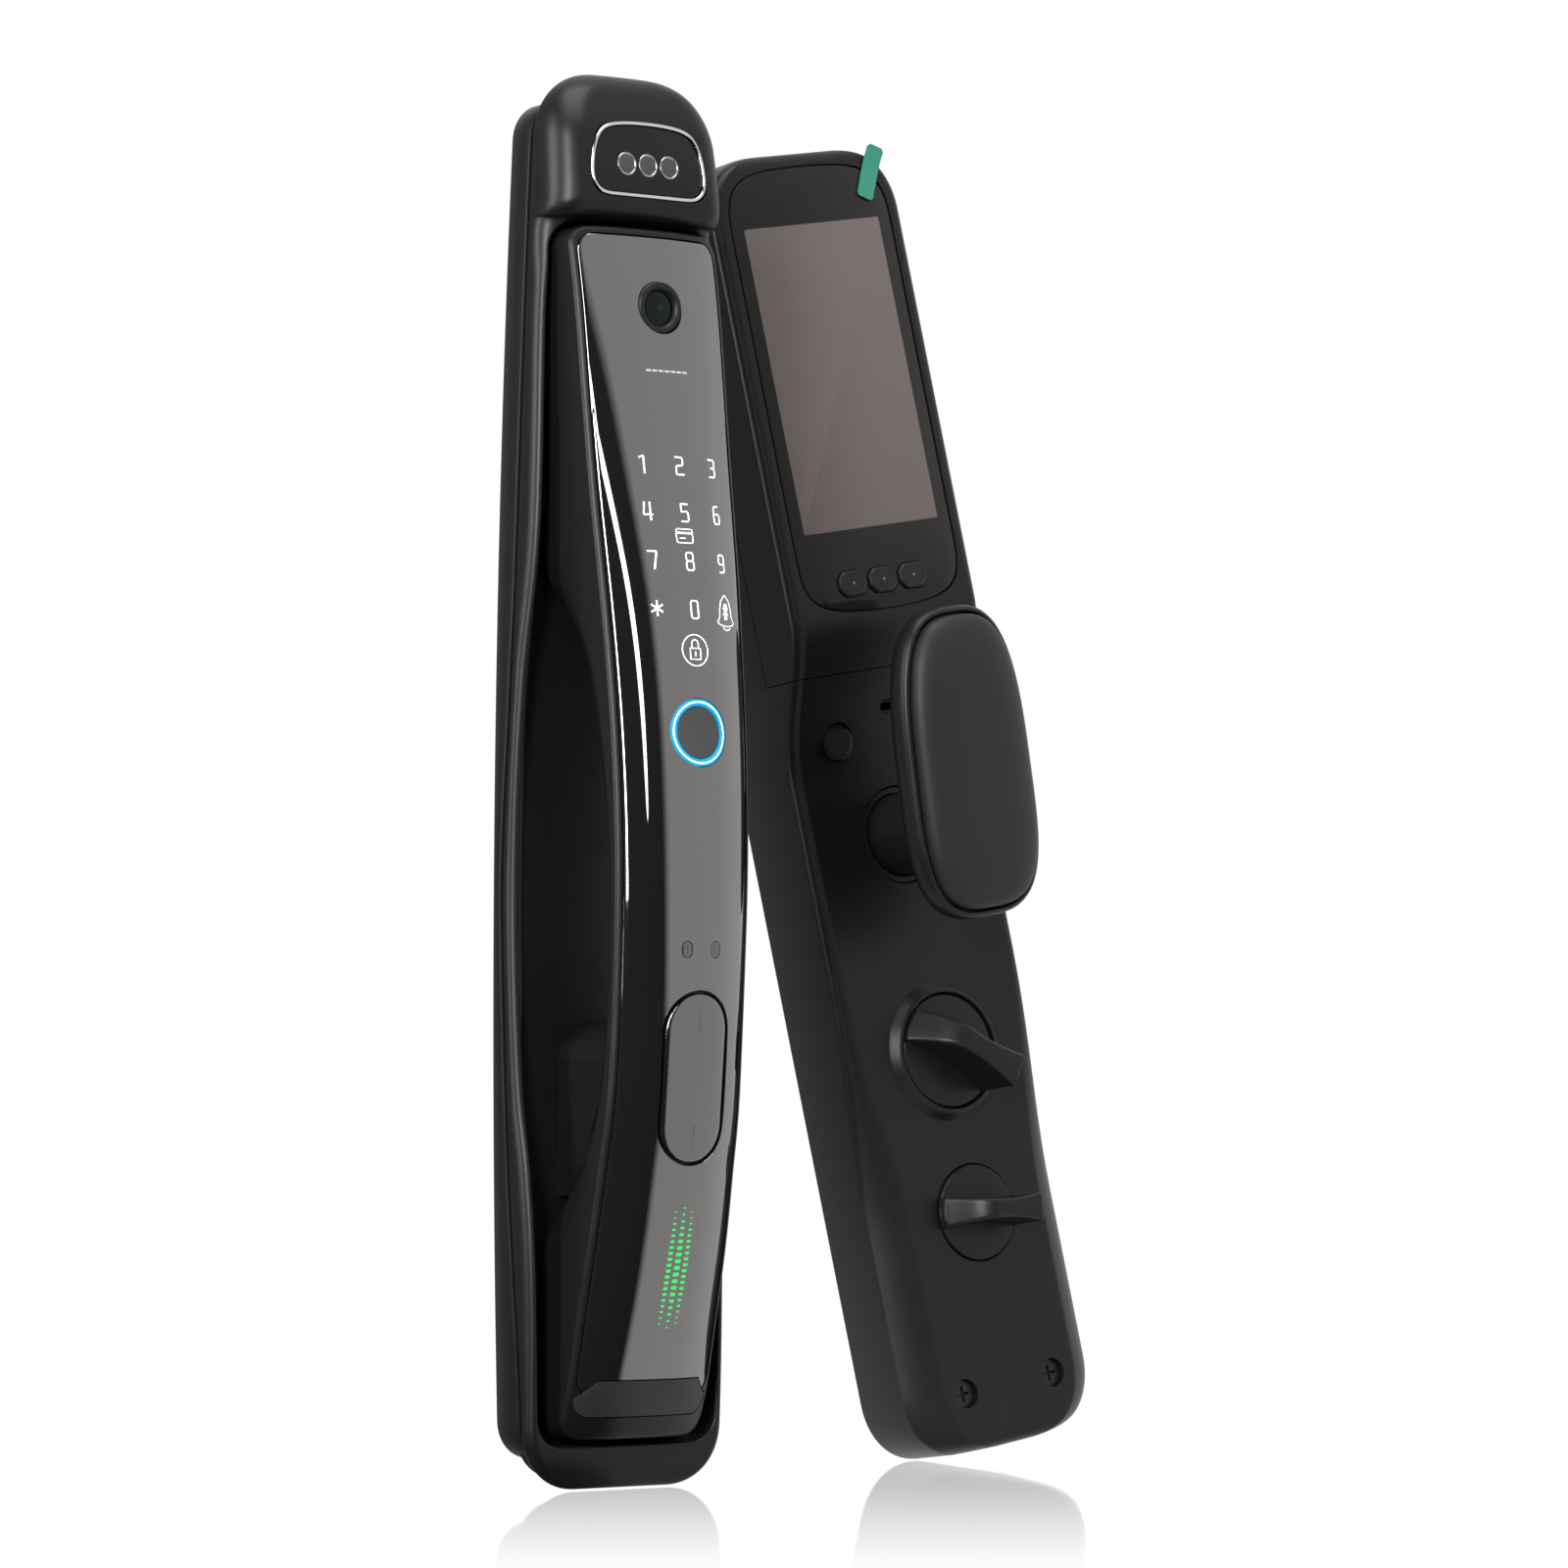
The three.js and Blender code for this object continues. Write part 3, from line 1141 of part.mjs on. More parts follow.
addInteriorCasing();
addBatteryCover();
addInteriorElectronics();
addInteriorHandle();
addKnob('deadbolt', BIG_KNOB_LEVEL, BIG_KNOB_RADIUS, LOWER_DEPTH + COLLAR_HEIGHT - 0.6, LOWER_DEPTH + 19, 32);
addKnob('privacy', SMALL_KNOB_LEVEL, SMALL_KNOB_RADIUS, LOWER_DEPTH + 1.2, LOWER_DEPTH + 16.5, 0);

// Stand the interior unit beside the exterior unit, tilted, with its lowest corner on the floor.
interior.rotation.set(THREE.MathUtils.degToRad(-INT_LEAN_BACK), THREE.MathUtils.degToRad(-INT_LEAN_LEFT), 0);
interior.position.set(INT_OFFSET_X, INT_OFFSET_Y, 0);
interior.position.z = -new THREE.Box3().setFromObject(interior, true).min.z;

// Part origin: centre of the footprint, on the floor.
const bounds = new THREE.Box3().setFromObject(object, true);
const footprint = bounds.getCenter(new THREE.Vector3());
for (const unit of [exterior, interior]) {
  unit.position.x -= footprint.x;
  unit.position.y -= footprint.y;
  unit.position.z -= bounds.min.z;
}

export default object;
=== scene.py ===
"""Keypad smart lock: the outside unit with its bow pull and the inside unit with screen and knobs.

Shapes are drawn in millimetres in each unit's own frame (x across, depth out of the door face,
z up from the unit's lower end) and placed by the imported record's mounts and joints.
"""
import json
import math

import bmesh
import bpy
import numpy as np
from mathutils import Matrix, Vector


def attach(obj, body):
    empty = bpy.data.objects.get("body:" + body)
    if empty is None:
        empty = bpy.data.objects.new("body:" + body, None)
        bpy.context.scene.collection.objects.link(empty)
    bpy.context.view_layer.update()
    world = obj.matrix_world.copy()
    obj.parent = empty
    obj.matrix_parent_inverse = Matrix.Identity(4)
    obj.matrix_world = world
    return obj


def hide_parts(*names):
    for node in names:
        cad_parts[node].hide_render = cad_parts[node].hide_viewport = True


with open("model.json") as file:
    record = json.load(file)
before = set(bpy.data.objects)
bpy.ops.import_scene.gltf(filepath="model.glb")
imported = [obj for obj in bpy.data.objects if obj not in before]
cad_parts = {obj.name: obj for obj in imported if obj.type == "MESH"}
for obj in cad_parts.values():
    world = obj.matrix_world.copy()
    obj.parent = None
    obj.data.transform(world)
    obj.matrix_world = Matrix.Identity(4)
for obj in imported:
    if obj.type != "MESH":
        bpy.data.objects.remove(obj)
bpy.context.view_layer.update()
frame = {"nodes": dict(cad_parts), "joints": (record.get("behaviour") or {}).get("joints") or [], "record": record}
record = frame["record"]
joints = {joint["name"]: joint for joint in frame["joints"]}
mounts = {mount["name"]: mount for mount in record["mounts"]}

MM = 0.001
GAP = 0.3
WALL = 2.2
EXT_HEIGHT = 428.0
INT_HEIGHT = 421.0
FAR = 90.0                     # beyond the front of everything, for tools that cut right through
MOUNT_LEVEL = 0.300            # metres, mount above the lower end of the inside unit


class Unit:
    """One lock unit's own frame: points are (x, depth, z) in millimetres."""

    def __init__(self, origin, front, up):
        self.front = Vector(front).normalized()
        self.up = Vector(up).normalized()
        self.right = self.up.cross(self.front)
        self.origin = Vector(origin)
        self.axes = np.array([self.right, self.front, self.up]) * MM

    def place(self, points):
        return np.asarray(points, float).reshape(-1, 3) @ self.axes + np.array(self.origin)


def make_units():
    outer = mounts["outside_door_face"]["pos_m"]
    exterior = Unit((outer[0], outer[1], 0.0), (0, -1, 0), (0, 0, 1))
    front = Vector(joints["paddle_turn"]["axis"])
    up = Vector(joints["battery_cover_slide"]["axis"])
    interior = Unit(Vector(mounts["inside_door_face"]["pos_m"]) - up * MOUNT_LEVEL, front, up)
    return exterior, interior


EXT, INT = make_units()


# ---------- curves ----------
def curve_through(points):
    """Smooth height curve through (level, value) points."""
    table = np.array(points, float)
    last = len(table) - 1
    samples = []
    for i in range(last):
        p0, p1, p2, p3 = (table[min(max(k, 0), last)] for k in (i - 1, i, i + 1, i + 2))
        v0, v1 = (p2 - p0) / 2, (p3 - p1) / 2
        for t in np.linspace(0, 1, 24, endpoint=False):
            cubic = (2 * p1 - 2 * p2 + v0 + v1) * t**3 + (3 * p2 - 3 * p1 - 2 * v0 - v1) * t**2
            samples.append(cubic + v0 * t + p1)
    samples.append(table[-1])
    samples = np.array(samples)
    return lambda level: np.interp(level, samples[:, 0], samples[:, 1])


def rounded_end(distance, radius, power=2.2):
    """How much of radius is left at a distance from the end."""
    t = 1 - np.clip(np.asarray(distance, float) / radius, 0, 1)
    return radius * (1 - (1 - t**power) ** (1 / power))


def blend(z, low, high):
    t = np.clip((np.asarray(z, float) - low) / (high - low), 0, 1)
    return t * t * (3 - 2 * t)


def levels(bottom, top, corner, step=4.0, count=14):
    """Levels for a loft, close together where the ends are rounded."""
    ease = 1 - np.cos(np.linspace(0, math.pi / 2, count))
    middle = np.linspace(bottom + corner, top - corner, max(2, int((top - bottom - 2 * corner) / step)) + 1)
    return np.concatenate([bottom + ease * corner, middle[1:-1], (top - ease * corner)[::-1]])


# ---------- meshes ----------
def mesh_object(name, unit, points, faces, sharp=30):
    mesh = bpy.data.meshes.new(name)
    mesh.from_pydata(unit.place(points).tolist(), [], faces)
    obj = bpy.data.objects.new(name, mesh)
    bpy.context.scene.collection.objects.link(obj)
    tidy_normals(obj, sharp)
    return obj


def tidy_normals(obj, sharp=30):
    work = bmesh.new()
    work.from_mesh(obj.data)
    bmesh.ops.remove_doubles(work, verts=work.verts, dist=1e-7)
    bmesh.ops.recalc_face_normals(work, faces=work.faces)
    work.to_mesh(obj.data)
    work.free()
    obj.data.polygons.foreach_set("use_smooth", [True] * len(obj.data.polygons))
    obj.data.set_sharp_from_angle(angle=math.radians(sharp))


def bridge(low, high):
    """Quads between two closed rings of vertex numbers."""
    following = [*range(1, len(low)), 0]
    return [(low[k], low[n], high[n], high[k]) for k, n in enumerate(following)]


def lay(outline, depth):
    """Points of an (x, z) outline at one depth, or at a depth for each point."""
    return np.stack([outline[:, 0], np.broadcast_to(depth, len(outline)), outline[:, 1]], 1)


def bend(a, b, c, count, to_end=False):
    """Points on the curve from a to c that is pulled towards b."""
    a, b, c = (np.array(point, float) for point in (a, b, c))
    steps = np.linspace(0, 1, count, endpoint=to_end)
    return [(1 - t) ** 2 * a + 2 * t * (1 - t) * b + t * t * c for t in steps]


def loft(name, unit, rings, loop=False, sharp=30):
    """Solid through rings of equal length, capped at both ends or closed on itself."""
    rings = np.asarray(rings, float)
    count, size = rings.shape[:2]
    rows = np.arange(count * size).reshape(count, size).tolist()
    faces = []
    for i in range(count if loop else count - 1):
        faces += bridge(rows[i], rows[(i + 1) % count])
    if not loop:
        faces += [tuple(rows[0]), tuple(rows[-1])]
    return mesh_object(name, unit, rings.reshape(-1, 3), faces, sharp)


def shrink(outline, inset):
    """Outline moved inward by inset."""
    outline = np.asarray(outline, float)
    if abs(inset) < 1e-9:
        return outline
    ahead = np.roll(outline, -1, 0) - outline
    behind = outline - np.roll(outline, 1, 0)
    ahead /= np.linalg.norm(ahead, axis=1)[:, None]
    behind /= np.linalg.norm(behind, axis=1)[:, None]
    tangent = ahead + behind
    tangent /= np.linalg.norm(tangent, axis=1)[:, None]
    normal = np.stack([-tangent[:, 1], tangent[:, 0]], 1)
    miter = 1 / np.clip((tangent * ahead).sum(1), 0.5, 1)
    area = np.sum(outline[:, 0] * np.roll(outline[:, 1], -1) - np.roll(outline[:, 0], -1) * outline[:, 1])
    return outline + normal * (inset * miter * (1 if area > 0 else -1))[:, None]


def stack(name, unit, outline, layers, loop=False, sharp=30, place=None):
    """Solid from one outline (x, z) repeated at layers of (inset, depth or depth function)."""
    rings = []
    for inset, depth in layers:
        flat = shrink(outline, inset)
        ring = lay(flat, depth(flat[:, 0], flat[:, 1]) if callable(depth) else float(depth))
        rings.append(place(ring) if place else ring)
    return loft(name, unit, rings, loop, sharp)


def circle(radius, x=0.0, z=0.0, count=96):
    angle = np.linspace(0, 2 * math.pi, count, endpoint=False)
    return np.stack([x + radius * np.cos(angle), z + radius * np.sin(angle)], 1)


def rounded_rectangle(half_width, half_height, corner, x=0.0, z=0.0, count=10):
    corner = min(corner, half_width, half_height) * 0.999
    points = []
    for sx, sz, start in ((1, -1, -90), (1, 1, 0), (-1, 1, 90), (-1, -1, 180)):
        for angle in np.radians(start + np.linspace(0, 90, count)):
            points.append((x + sx * (half_width - corner) + corner * math.cos(angle),
                           z + sz * (half_height - corner) + corner * math.sin(angle)))
    return np.array(points)


def cut(body, tool, operation="DIFFERENCE", sharp=30):
    """Boolean with a closed tool, which is used up."""
    modifier = body.modifiers.new("cut", "BOOLEAN")
    modifier.object, modifier.operation, modifier.solver = tool, operation, "MANIFOLD"
    view_layer = bpy.context.evaluated_depsgraph_get()
    result = bpy.data.meshes.new_from_object(body.evaluated_get(view_layer))
    body.modifiers.clear()
    body.data = result
    bpy.data.objects.remove(tool)
    result.polygons.foreach_set("use_smooth", [True] * len(result.polygons))
    result.set_sharp_from_angle(angle=math.radians(sharp))


def bevel(obj, width, segments=2, angle=35):
    modifier = obj.modifiers.new("edge", "BEVEL")
    modifier.width, modifier.segments = width * MM, segments
    modifier.limit_method, modifier.angle_limit = "ANGLE", math.radians(angle)


# ---------- materials ----------
def new_material(name):
    material = bpy.data.materials.new(name)
    material.use_nodes = True
    return material, material.node_tree.nodes, material.node_tree.links


def add_node(nodes, kind, **values):
    """New shader node; each value is named like its input, with _ for a space."""
    node = nodes.new("ShaderNode" + kind)
    for socket, value in values.items():
        node.inputs[socket.replace("_", " ")].default_value = value
    return node


def surface(name, color, roughness, metallic=0.0, ior=1.5, coat=0.0,
            specular=0.5, grain=0.0, grain_size=0.35, mottle=0.12, smudge=0.08, emission=None, strength=0.0):
    """Principled surface with fine grain, slight colour mottling and worn gloss."""
    material, nodes, links = new_material(name)
    shader = nodes["Principled BSDF"]
    for socket, value in (("Metallic", metallic), ("IOR", ior), ("Specular IOR Level", specular),
                          ("Coat Weight", coat), ("Coat Roughness", 0.05)):
        shader.inputs[socket].default_value = value
    place = nodes.new("ShaderNodeTexCoord")
    cloud = add_node(nodes, "TexNoise", Scale=38.0, Detail=5.0)
    links.new(place.outputs["Object"], cloud.inputs["Vector"])
    tint = nodes.new("ShaderNodeMix")
    tint.data_type = "RGBA"
    tint.inputs["A"].default_value = (*[c * (1 - mottle) for c in color], 1)
    tint.inputs["B"].default_value = (*[min(1, c * (1 + mottle)) for c in color], 1)
    links.new(cloud.outputs["Fac"], tint.inputs["Factor"])
    links.new(tint.outputs["Result"], shader.inputs["Base Color"])
    gloss = add_node(nodes, "MapRange", To_Min=max(0.01, roughness * (1 - smudge)),
                     To_Max=roughness * (1 + smudge))
    links.new(cloud.outputs["Fac"], gloss.inputs["Value"])
    links.new(gloss.outputs["Result"], shader.inputs["Roughness"])
    if grain > 0:
        speckle = add_node(nodes, "TexNoise", Scale=1 / (grain_size * MM), Detail=3.0)
        links.new(place.outputs["Object"], speckle.inputs["Vector"])
        relief = add_node(nodes, "Bump", Strength=grain, Distance=0.04 * MM)
        links.new(speckle.outputs["Fac"], relief.inputs["Height"])
        links.new(relief.outputs["Normal"], shader.inputs["Normal"])
    if emission:
        shader.inputs["Emission Color"].default_value = (*emission, 1)
        shader.inputs["Emission Strength"].default_value = strength
    return material


def brushed(name, color, roughness):
    """Metal with fine directional scratches."""
    material, nodes, links = new_material(name)
    shader = nodes["Principled BSDF"]
    shader.inputs["Metallic"].default_value = 1.0
    shader.inputs["Base Color"].default_value = (*color, 1)
    place = nodes.new("ShaderNodeTexCoord")
    stretch = add_node(nodes, "Mapping", Scale=(40, 4000, 4000))
    lines = add_node(nodes, "TexNoise", Scale=1.0, Detail=4.0)
    links.new(place.outputs["Object"], stretch.inputs["Vector"])
    links.new(stretch.outputs["Vector"], lines.inputs["Vector"])
    gloss = add_node(nodes, "MapRange", To_Min=roughness * 0.7, To_Max=roughness * 1.3)
    links.new(lines.outputs["Fac"], gloss.inputs["Value"])
    links.new(gloss.outputs["Result"], shader.inputs["Roughness"])
    relief = add_node(nodes, "Bump", Strength=0.15, Distance=0.03 * MM)
    links.new(lines.outputs["Fac"], relief.inputs["Height"])
    links.new(relief.outputs["Normal"], shader.inputs["Normal"])
    return material


LOOKS = {
    "satin_black_metal": surface("satin_black", (0.0042, 0.004, 0.004), 0.36, specular=0.17, grain=0.45,
                                 grain_size=0.3),
    "black_rubber": surface("gasket_rubber", (0.012, 0.012, 0.012), 0.8, grain=0.8, grain_size=0.6),
    "touch_glass": surface("touch_glass", (0.0045, 0.004, 0.0038), 0.03, ior=2.2, mottle=0.05,
                           smudge=0.25),
    "key_cover_gloss": surface("cover_gloss", (0.0045, 0.004, 0.0038), 0.06, ior=2.1, mottle=0.05,
                               smudge=0.2),
    "black_plastic": surface("moulded_black", (0.0055, 0.0055, 0.0057), 0.42, specular=0.18, grain=0.5,
                             grain_size=0.5),
    "pad_black": surface("paddle_skin", (0.0085, 0.0078, 0.0076), 0.48, specular=0.2, grain=0.6,
                         grain_size=0.4),
    "chrome_trim": surface("bezel_chrome", (0.5, 0.48, 0.46), 0.16, metallic=1.0, mottle=0.03),
    "lens_dark": surface("lens_dark", (0.03, 0.029, 0.029), 0.08, ior=1.4, mottle=0.3),
    "sensor_dark": surface("sensor_skin", (0.035, 0.038, 0.037), 0.4, specular=0.2, grain=0.3, grain_size=0.2),
    "ring_light": surface("ring_glow", (0.0, 0.1, 0.2), 0.3, specular=0.2, emission=(0.0, 0.3, 0.58),
                          strength=1.0),
    "board_green": surface("solder_mask", (0.01, 0.09, 0.035), 0.4, coat=0.3, mottle=0.4),
    "steel": brushed("plain_steel", (0.52, 0.52, 0.53), 0.3),
    "black_screw": surface("oxide_black", (0.012, 0.012, 0.012), 0.4, metallic=0.6, grain=0.3),
    "brass": brushed("turned_brass", (0.62, 0.44, 0.2), 0.25),
    "display_grey": surface("display_painted_reflection", (0.082, 0.069, 0.065), 0.3, specular=0.15, mottle=0.03),
    # The display panel is real; its grey, lighter than the screen glass, is painted reflection.
    "membrane_grey": surface("silicone", (0.22, 0.22, 0.23), 0.7, grain=0.3),
    "film_teal": surface("film_teal", (0.0, 0.13, 0.085), 0.3, coat=0.2, mottle=0.15),
    "battery_blue": surface("shrink_wrap", (0.03, 0.09, 0.26), 0.35, coat=0.4),
}
screen_black = surface("screen_black", (0.0085, 0.008, 0.0082), 0.14, specular=0.12, mottle=0.05, smudge=0.2)
window_black = surface("window_black", (0.0085, 0.008, 0.008), 0.06, specular=0.1, mottle=0.05)
cap_black = surface("end_cap", (0.014, 0.0128, 0.0126), 0.5, specular=0.22, grain=0.5, grain_size=0.4)
figure_white = surface("figure_white", (0.8, 0.8, 0.84), 0.4, emission=(0.9, 0.9, 1.0), strength=0.75)
mark_white = surface("mark_soft", (0.3, 0.3, 0.3), 0.4, emission=(0.85, 0.85, 0.85), strength=0.22)
led_green = surface("led_green", (0.01, 0.15, 0.04), 0.4, specular=0.1, emission=(0.04, 0.72, 0.13),
                    strength=1.0)
ring_core = surface("ring_core", (0.9, 0.97, 1.0), 0.3, emission=(0.75, 0.95, 1.0), strength=2.4)
sensor_glass = surface("sensor_glass", (0.012, 0.014, 0.014), 0.05, ior=1.9, mottle=0.1)
silver_ring = surface("lens_ring", (0.3, 0.29, 0.28), 0.25, metallic=1.0)
lens_green = surface("bell_glass", (0.001, 0.0035, 0.0025), 0.05, specular=0.12)
socket_dark = brushed("socket_dark", (0.03, 0.03, 0.03), 0.4)
icon_grey = surface("icon_grey", (0.05, 0.05, 0.05), 0.35)


def finish_piece(obj, body, slot, material=None, replaces=()):
    obj.data.materials.clear()
    obj.data.materials.append(material or LOOKS[slot])
    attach(obj, body)
    if replaces:
        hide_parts(*replaces)


FIXED = "lock_units"
BROAD_FACE = 60 * MM**2        # flat faces above this area are not smoothed into their neighbours
for subpart in record["subparts"]:
    node = frame["nodes"][subpart["node"]]
    node.data.materials.clear()
    look = socket_dark if subpart["node"] == "charging_socket" else LOOKS[subpart["material_slot"]]
    node.data.materials.append(look)
    node.data.polygons.foreach_set("use_smooth", [face.area < BROAD_FACE for face in node.data.polygons])
    node.data.set_sharp_from_angle(angle=math.radians(30))


# ---------- outside unit: casing ----------
EXT_MIDDLE = EXT_HEIGHT * 0.44
EXT_CORNER = 19.0
DOME_CORNER = 21.5
REAR_CORNER = 12.0
REAR_INSET = 9.0
BASIN_FLOOR = 7.8
BASIN_RIM = 3.4
BASIN_CORNER = 9.0
BOW_BOTTOM = 15.0
BOW_TOP = EXT_HEIGHT - 48
BASIN_BOTTOM = BOW_BOTTOM - 2
BASIN_TOP = BOW_TOP + 2
T = EXT_HEIGHT
M = EXT_MIDDLE


def ext_half_width(z):
    return 38.0 - 7.6 * ((np.asarray(z, float) - 150) / (EXT_HEIGHT - 150)) ** 2


seam_depth = curve_through([(0, 13.5), (36, 13), (94, 9), (M - 35, 6.3), (M, 5.7), (M + 50, 8.6),
                            (M + 105, 10.8), (T, 11.6)])
rim_depth = curve_through([
    (0, 16.8), (20, 18.2), (65, 18.6), (94, 16.6), (123, 12.6), (M - 7, 10.2), (M + 52, 13.2), (M + 102, 19),
    (T - 72, 18.4), (T - 48, 20.5), (T - 45, 25.5), (T - 42, 28.3), (T - 38, 28.9), (T - 28, 27.9),
    (T - 18, 26.3), (T - 10, 23.6), (T - 4, 20.9), (T, 19)])


def casing_outline(bottom, top, corner, extra=0.0, step=3.0):
    """Closed (x, z) outline of a casing with rounded ends, from the levels' half widths."""
    rows = levels(bottom, top, corner, step)
    half = ext_half_width(rows) + extra - rounded_end(np.minimum(rows - bottom, top - rows), corner)
    right = np.stack([half, rows], 1)
    left = np.stack([-half, rows], 1)[::-1]
    return np.concatenate([right, left])


def build_rear_shell():
    outline = casing_outline(REAR_INSET, T - REAR_INSET, REAR_CORNER, 0.6)
    back = 1.3

    def under_seam(drop):
        return lambda x, z: seam_depth(z) - GAP / 2 - drop

    layers = [(1.2, back), (0.35, back + 0.35), (0, back + 1.2), (0, under_seam(0.7)), (0.2, under_seam(0.2)),
              (0.7, under_seam(0)), (WALL, under_seam(0)), (WALL, back + WALL)]
    shell = stack("rear_casing", EXT, outline, layers)
    finish_piece(shell, FIXED, "satin_black_metal", replaces=["rear_shell"])
    sheet = casing_outline(REAR_INSET + 1.5, T - REAR_INSET - 1.5, REAR_CORNER, -0.9)
    gasket = stack("gasket_sheet", EXT, sheet, [(0.3, 0.02), (0, 0.3), (0, 0.7), (0.3, 1.0)])
    finish_piece(gasket, FIXED, "black_rubber", replaces=["door_gasket"])


LIP = 0.95                     # rounding of the rim around the recess
FLOOR_FILLET = 2.0
WALL_RUN = 0.7                 # how far the recess wall leans in


def basin_half_width(z):
    end = np.minimum(z - BASIN_BOTTOM, BASIN_TOP - z)
    return ext_half_width(z) - BASIN_RIM - rounded_end(np.maximum(end, 0), BASIN_CORNER)


def basin_outline():
    rows = levels(BASIN_BOTTOM, BASIN_TOP, BASIN_CORNER, 2.0, 24)
    half = basin_half_width(rows)
    return np.concatenate([np.stack([half, rows], 1), np.stack([-half, rows], 1)[::-1]])


def signed_distance(x, z, outline):
    """Distance to the outline, positive inside."""
    start, end = outline, np.roll(outline, -1, 0)
    span = end - start
    point = np.stack([x, z], 1)[:, None, :]
    t = np.clip(((point - start) * span).sum(2) / np.maximum((span**2).sum(1), 1e-12), 0, 1)
    gap = np.linalg.norm(point - (start + t[..., None] * span), axis=2).min(1)
    beside = np.abs(x) < basin_half_width(np.clip(z, BASIN_BOTTOM, BASIN_TOP))
    return np.where(beside & (z > BASIN_BOTTOM) & (z < BASIN_TOP), gap, -gap)


def front_envelope(x, z, half):
    """Depth of the front casing's skin before the recess is cut."""
    top_fall, foot_fall, foot_run = 6.6, 2.6, 11.0
    front = rim_depth(z) - rounded_end(T - z, top_fall) - rounded_end(z, foot_run) * foot_fall / foot_run
    front = np.maximum(front, seam_depth(z) + 0.6)
    dome = blend(z, T - 66, T - 40)
    inset, fall = 3 + 8.5 * dome, 6 + 7.5 * dome
    side = np.maximum(seam_depth(z) + 0.8, front - fall)
    c = np.clip((np.abs(x) - (half - inset)) / inset, 0, 1)
    return side + (front - side) * np.sqrt(np.maximum(0, 1 - c**2.2))


def recess_drop(s, height):
    """How far the skin drops at distance s inside the recess edge."""
    scale = np.minimum(1, height / (LIP + FLOOR_FILLET + 0.2))
    lip, fillet = LIP * scale, FLOOR_FILLET * scale
    on_lip = lip - np.sqrt(np.maximum(0, lip**2 - np.clip(s + lip, 0, lip) ** 2))
    wall = lip + (height - lip - fillet) * np.clip(s / WALL_RUN, 0, 1)
    foot = np.clip((s - WALL_RUN) / fillet, 0, 1)
    floor = fillet * np.sqrt(np.maximum(0, 1 - (1 - foot) ** 2))
    return np.where(s <= 0, on_lip, wall + floor)


def build_front_shell():
    near = np.array([-2.6, -1.8, -1.3, -0.9, -0.5, -0.2, 0, 0.2, 0.45, 0.7, 0.9, 1.3, 1.9, 2.8, 4.5])
    rows = np.concatenate([
        levels(0, T, DOME_CORNER, 2.5, 26),
        BASIN_BOTTOM + near, BASIN_TOP - near,
        np.linspace(T - 52, T - 4, 60),
        BASIN_BOTTOM + BASIN_CORNER * (1 - np.cos(np.linspace(0.1, 1.5, 16))),
        BASIN_TOP - BASIN_CORNER * (1 - np.cos(np.linspace(0.1, 1.5, 16)))])
    rows = np.unique(np.round(rows, 3))
    rows = rows[np.concatenate([[True], np.diff(rows) > 0.04])]
    half = ext_half_width(rows) - rounded_end(rows, EXT_CORNER) - rounded_end(T - rows, DOME_CORNER)
    edge = basin_half_width(np.clip(rows, BASIN_BOTTOM, BASIN_TOP))
    inner = np.concatenate([np.linspace(0, 0.82, 8), 1 - near[::-1][:9] / 30 * 1.0])
    inner = inner[np.concatenate([[True], np.diff(inner) > 1e-4])]
    outer = np.linspace(0, 1, 26)[1:] ** 0.8
    right = []
    for j in range(len(rows)):
        e, h = edge[j], half[j]
        e = min(e, h - 1.0)
        inside = inner * e
        outside = e + (h - e) * (1 - np.cos(outer * math.pi / 2)) ** 0.85
        outside[-1] = h
        right.append(np.concatenate([inside[inside < e - 1e-3], [e], outside]))
    right = np.array(right)
    x = np.concatenate([-right[:, :0:-1], right], 1)
    z = np.repeat(rows[:, None], x.shape[1], 1)
    flat_x, flat_z = x.ravel(), z.ravel()
    envelope = front_envelope(flat_x, flat_z, np.repeat(half, x.shape[1]))
    height = envelope - BASIN_FLOOR
    depth = envelope - recess_drop(signed_distance(flat_x, flat_z, basin_outline()), height)
    count, width = x.shape
    points = np.stack([flat_x, depth, flat_z], 1)
    index = np.arange(count * width).reshape(count, width)
    faces = [(index[i, k], index[i, k + 1], index[i + 1, k + 1], index[i + 1, k])
             for i in range(count - 1) for k in range(width - 1)]
    loop = np.concatenate([index[0, :], index[1:, -1], index[-1, -2::-1], index[-2:0:-1, 0]])
    outline = points[loop][:, [0, 2]]
    previous, total = loop, [points]
    offset = count * width
    seam = seam_depth(outline[:, 1]) + GAP / 2
    tub_inset, tub_back = 2.8, 6.3
    for inset, ring_depth in ((0.0, seam + 0.5), (0.15, seam + 0.12), (0.5, seam), (tub_inset, seam),
                              (tub_inset, np.full(len(seam), tub_back))):
        flat = shrink(outline, inset)
        total.append(lay(flat, ring_depth))
        ring = np.arange(offset, offset + len(loop))
        faces += bridge(previous, ring)
        previous, offset = ring, offset + len(loop)
    faces.append(tuple(previous))
    shell = mesh_object("front_casing", EXT, np.concatenate(total), faces, 50)
    pocket = stack("window_pocket", EXT, window_outline(BEZEL + 0.25), [(0, -WINDOW_SETBACK - GAP), (0, 40)],
                   place=on_dome)
    cut(shell, pocket, sharp=50)
    finish_piece(shell, FIXED, "satin_black_metal", replaces=["front_shell"])


# ---------- outside unit: face window ----------
WINDOW_LEVEL = T - 27
WINDOW_TILT = math.radians(5)
WINDOW_HALF = (20.4, 10.6)
WINDOW_SETBACK = 2.6
BEZEL = 1.1
LENS_RADIUS, LENS_PITCH, LENS_DROP = 3.4, 7.9, 1.6


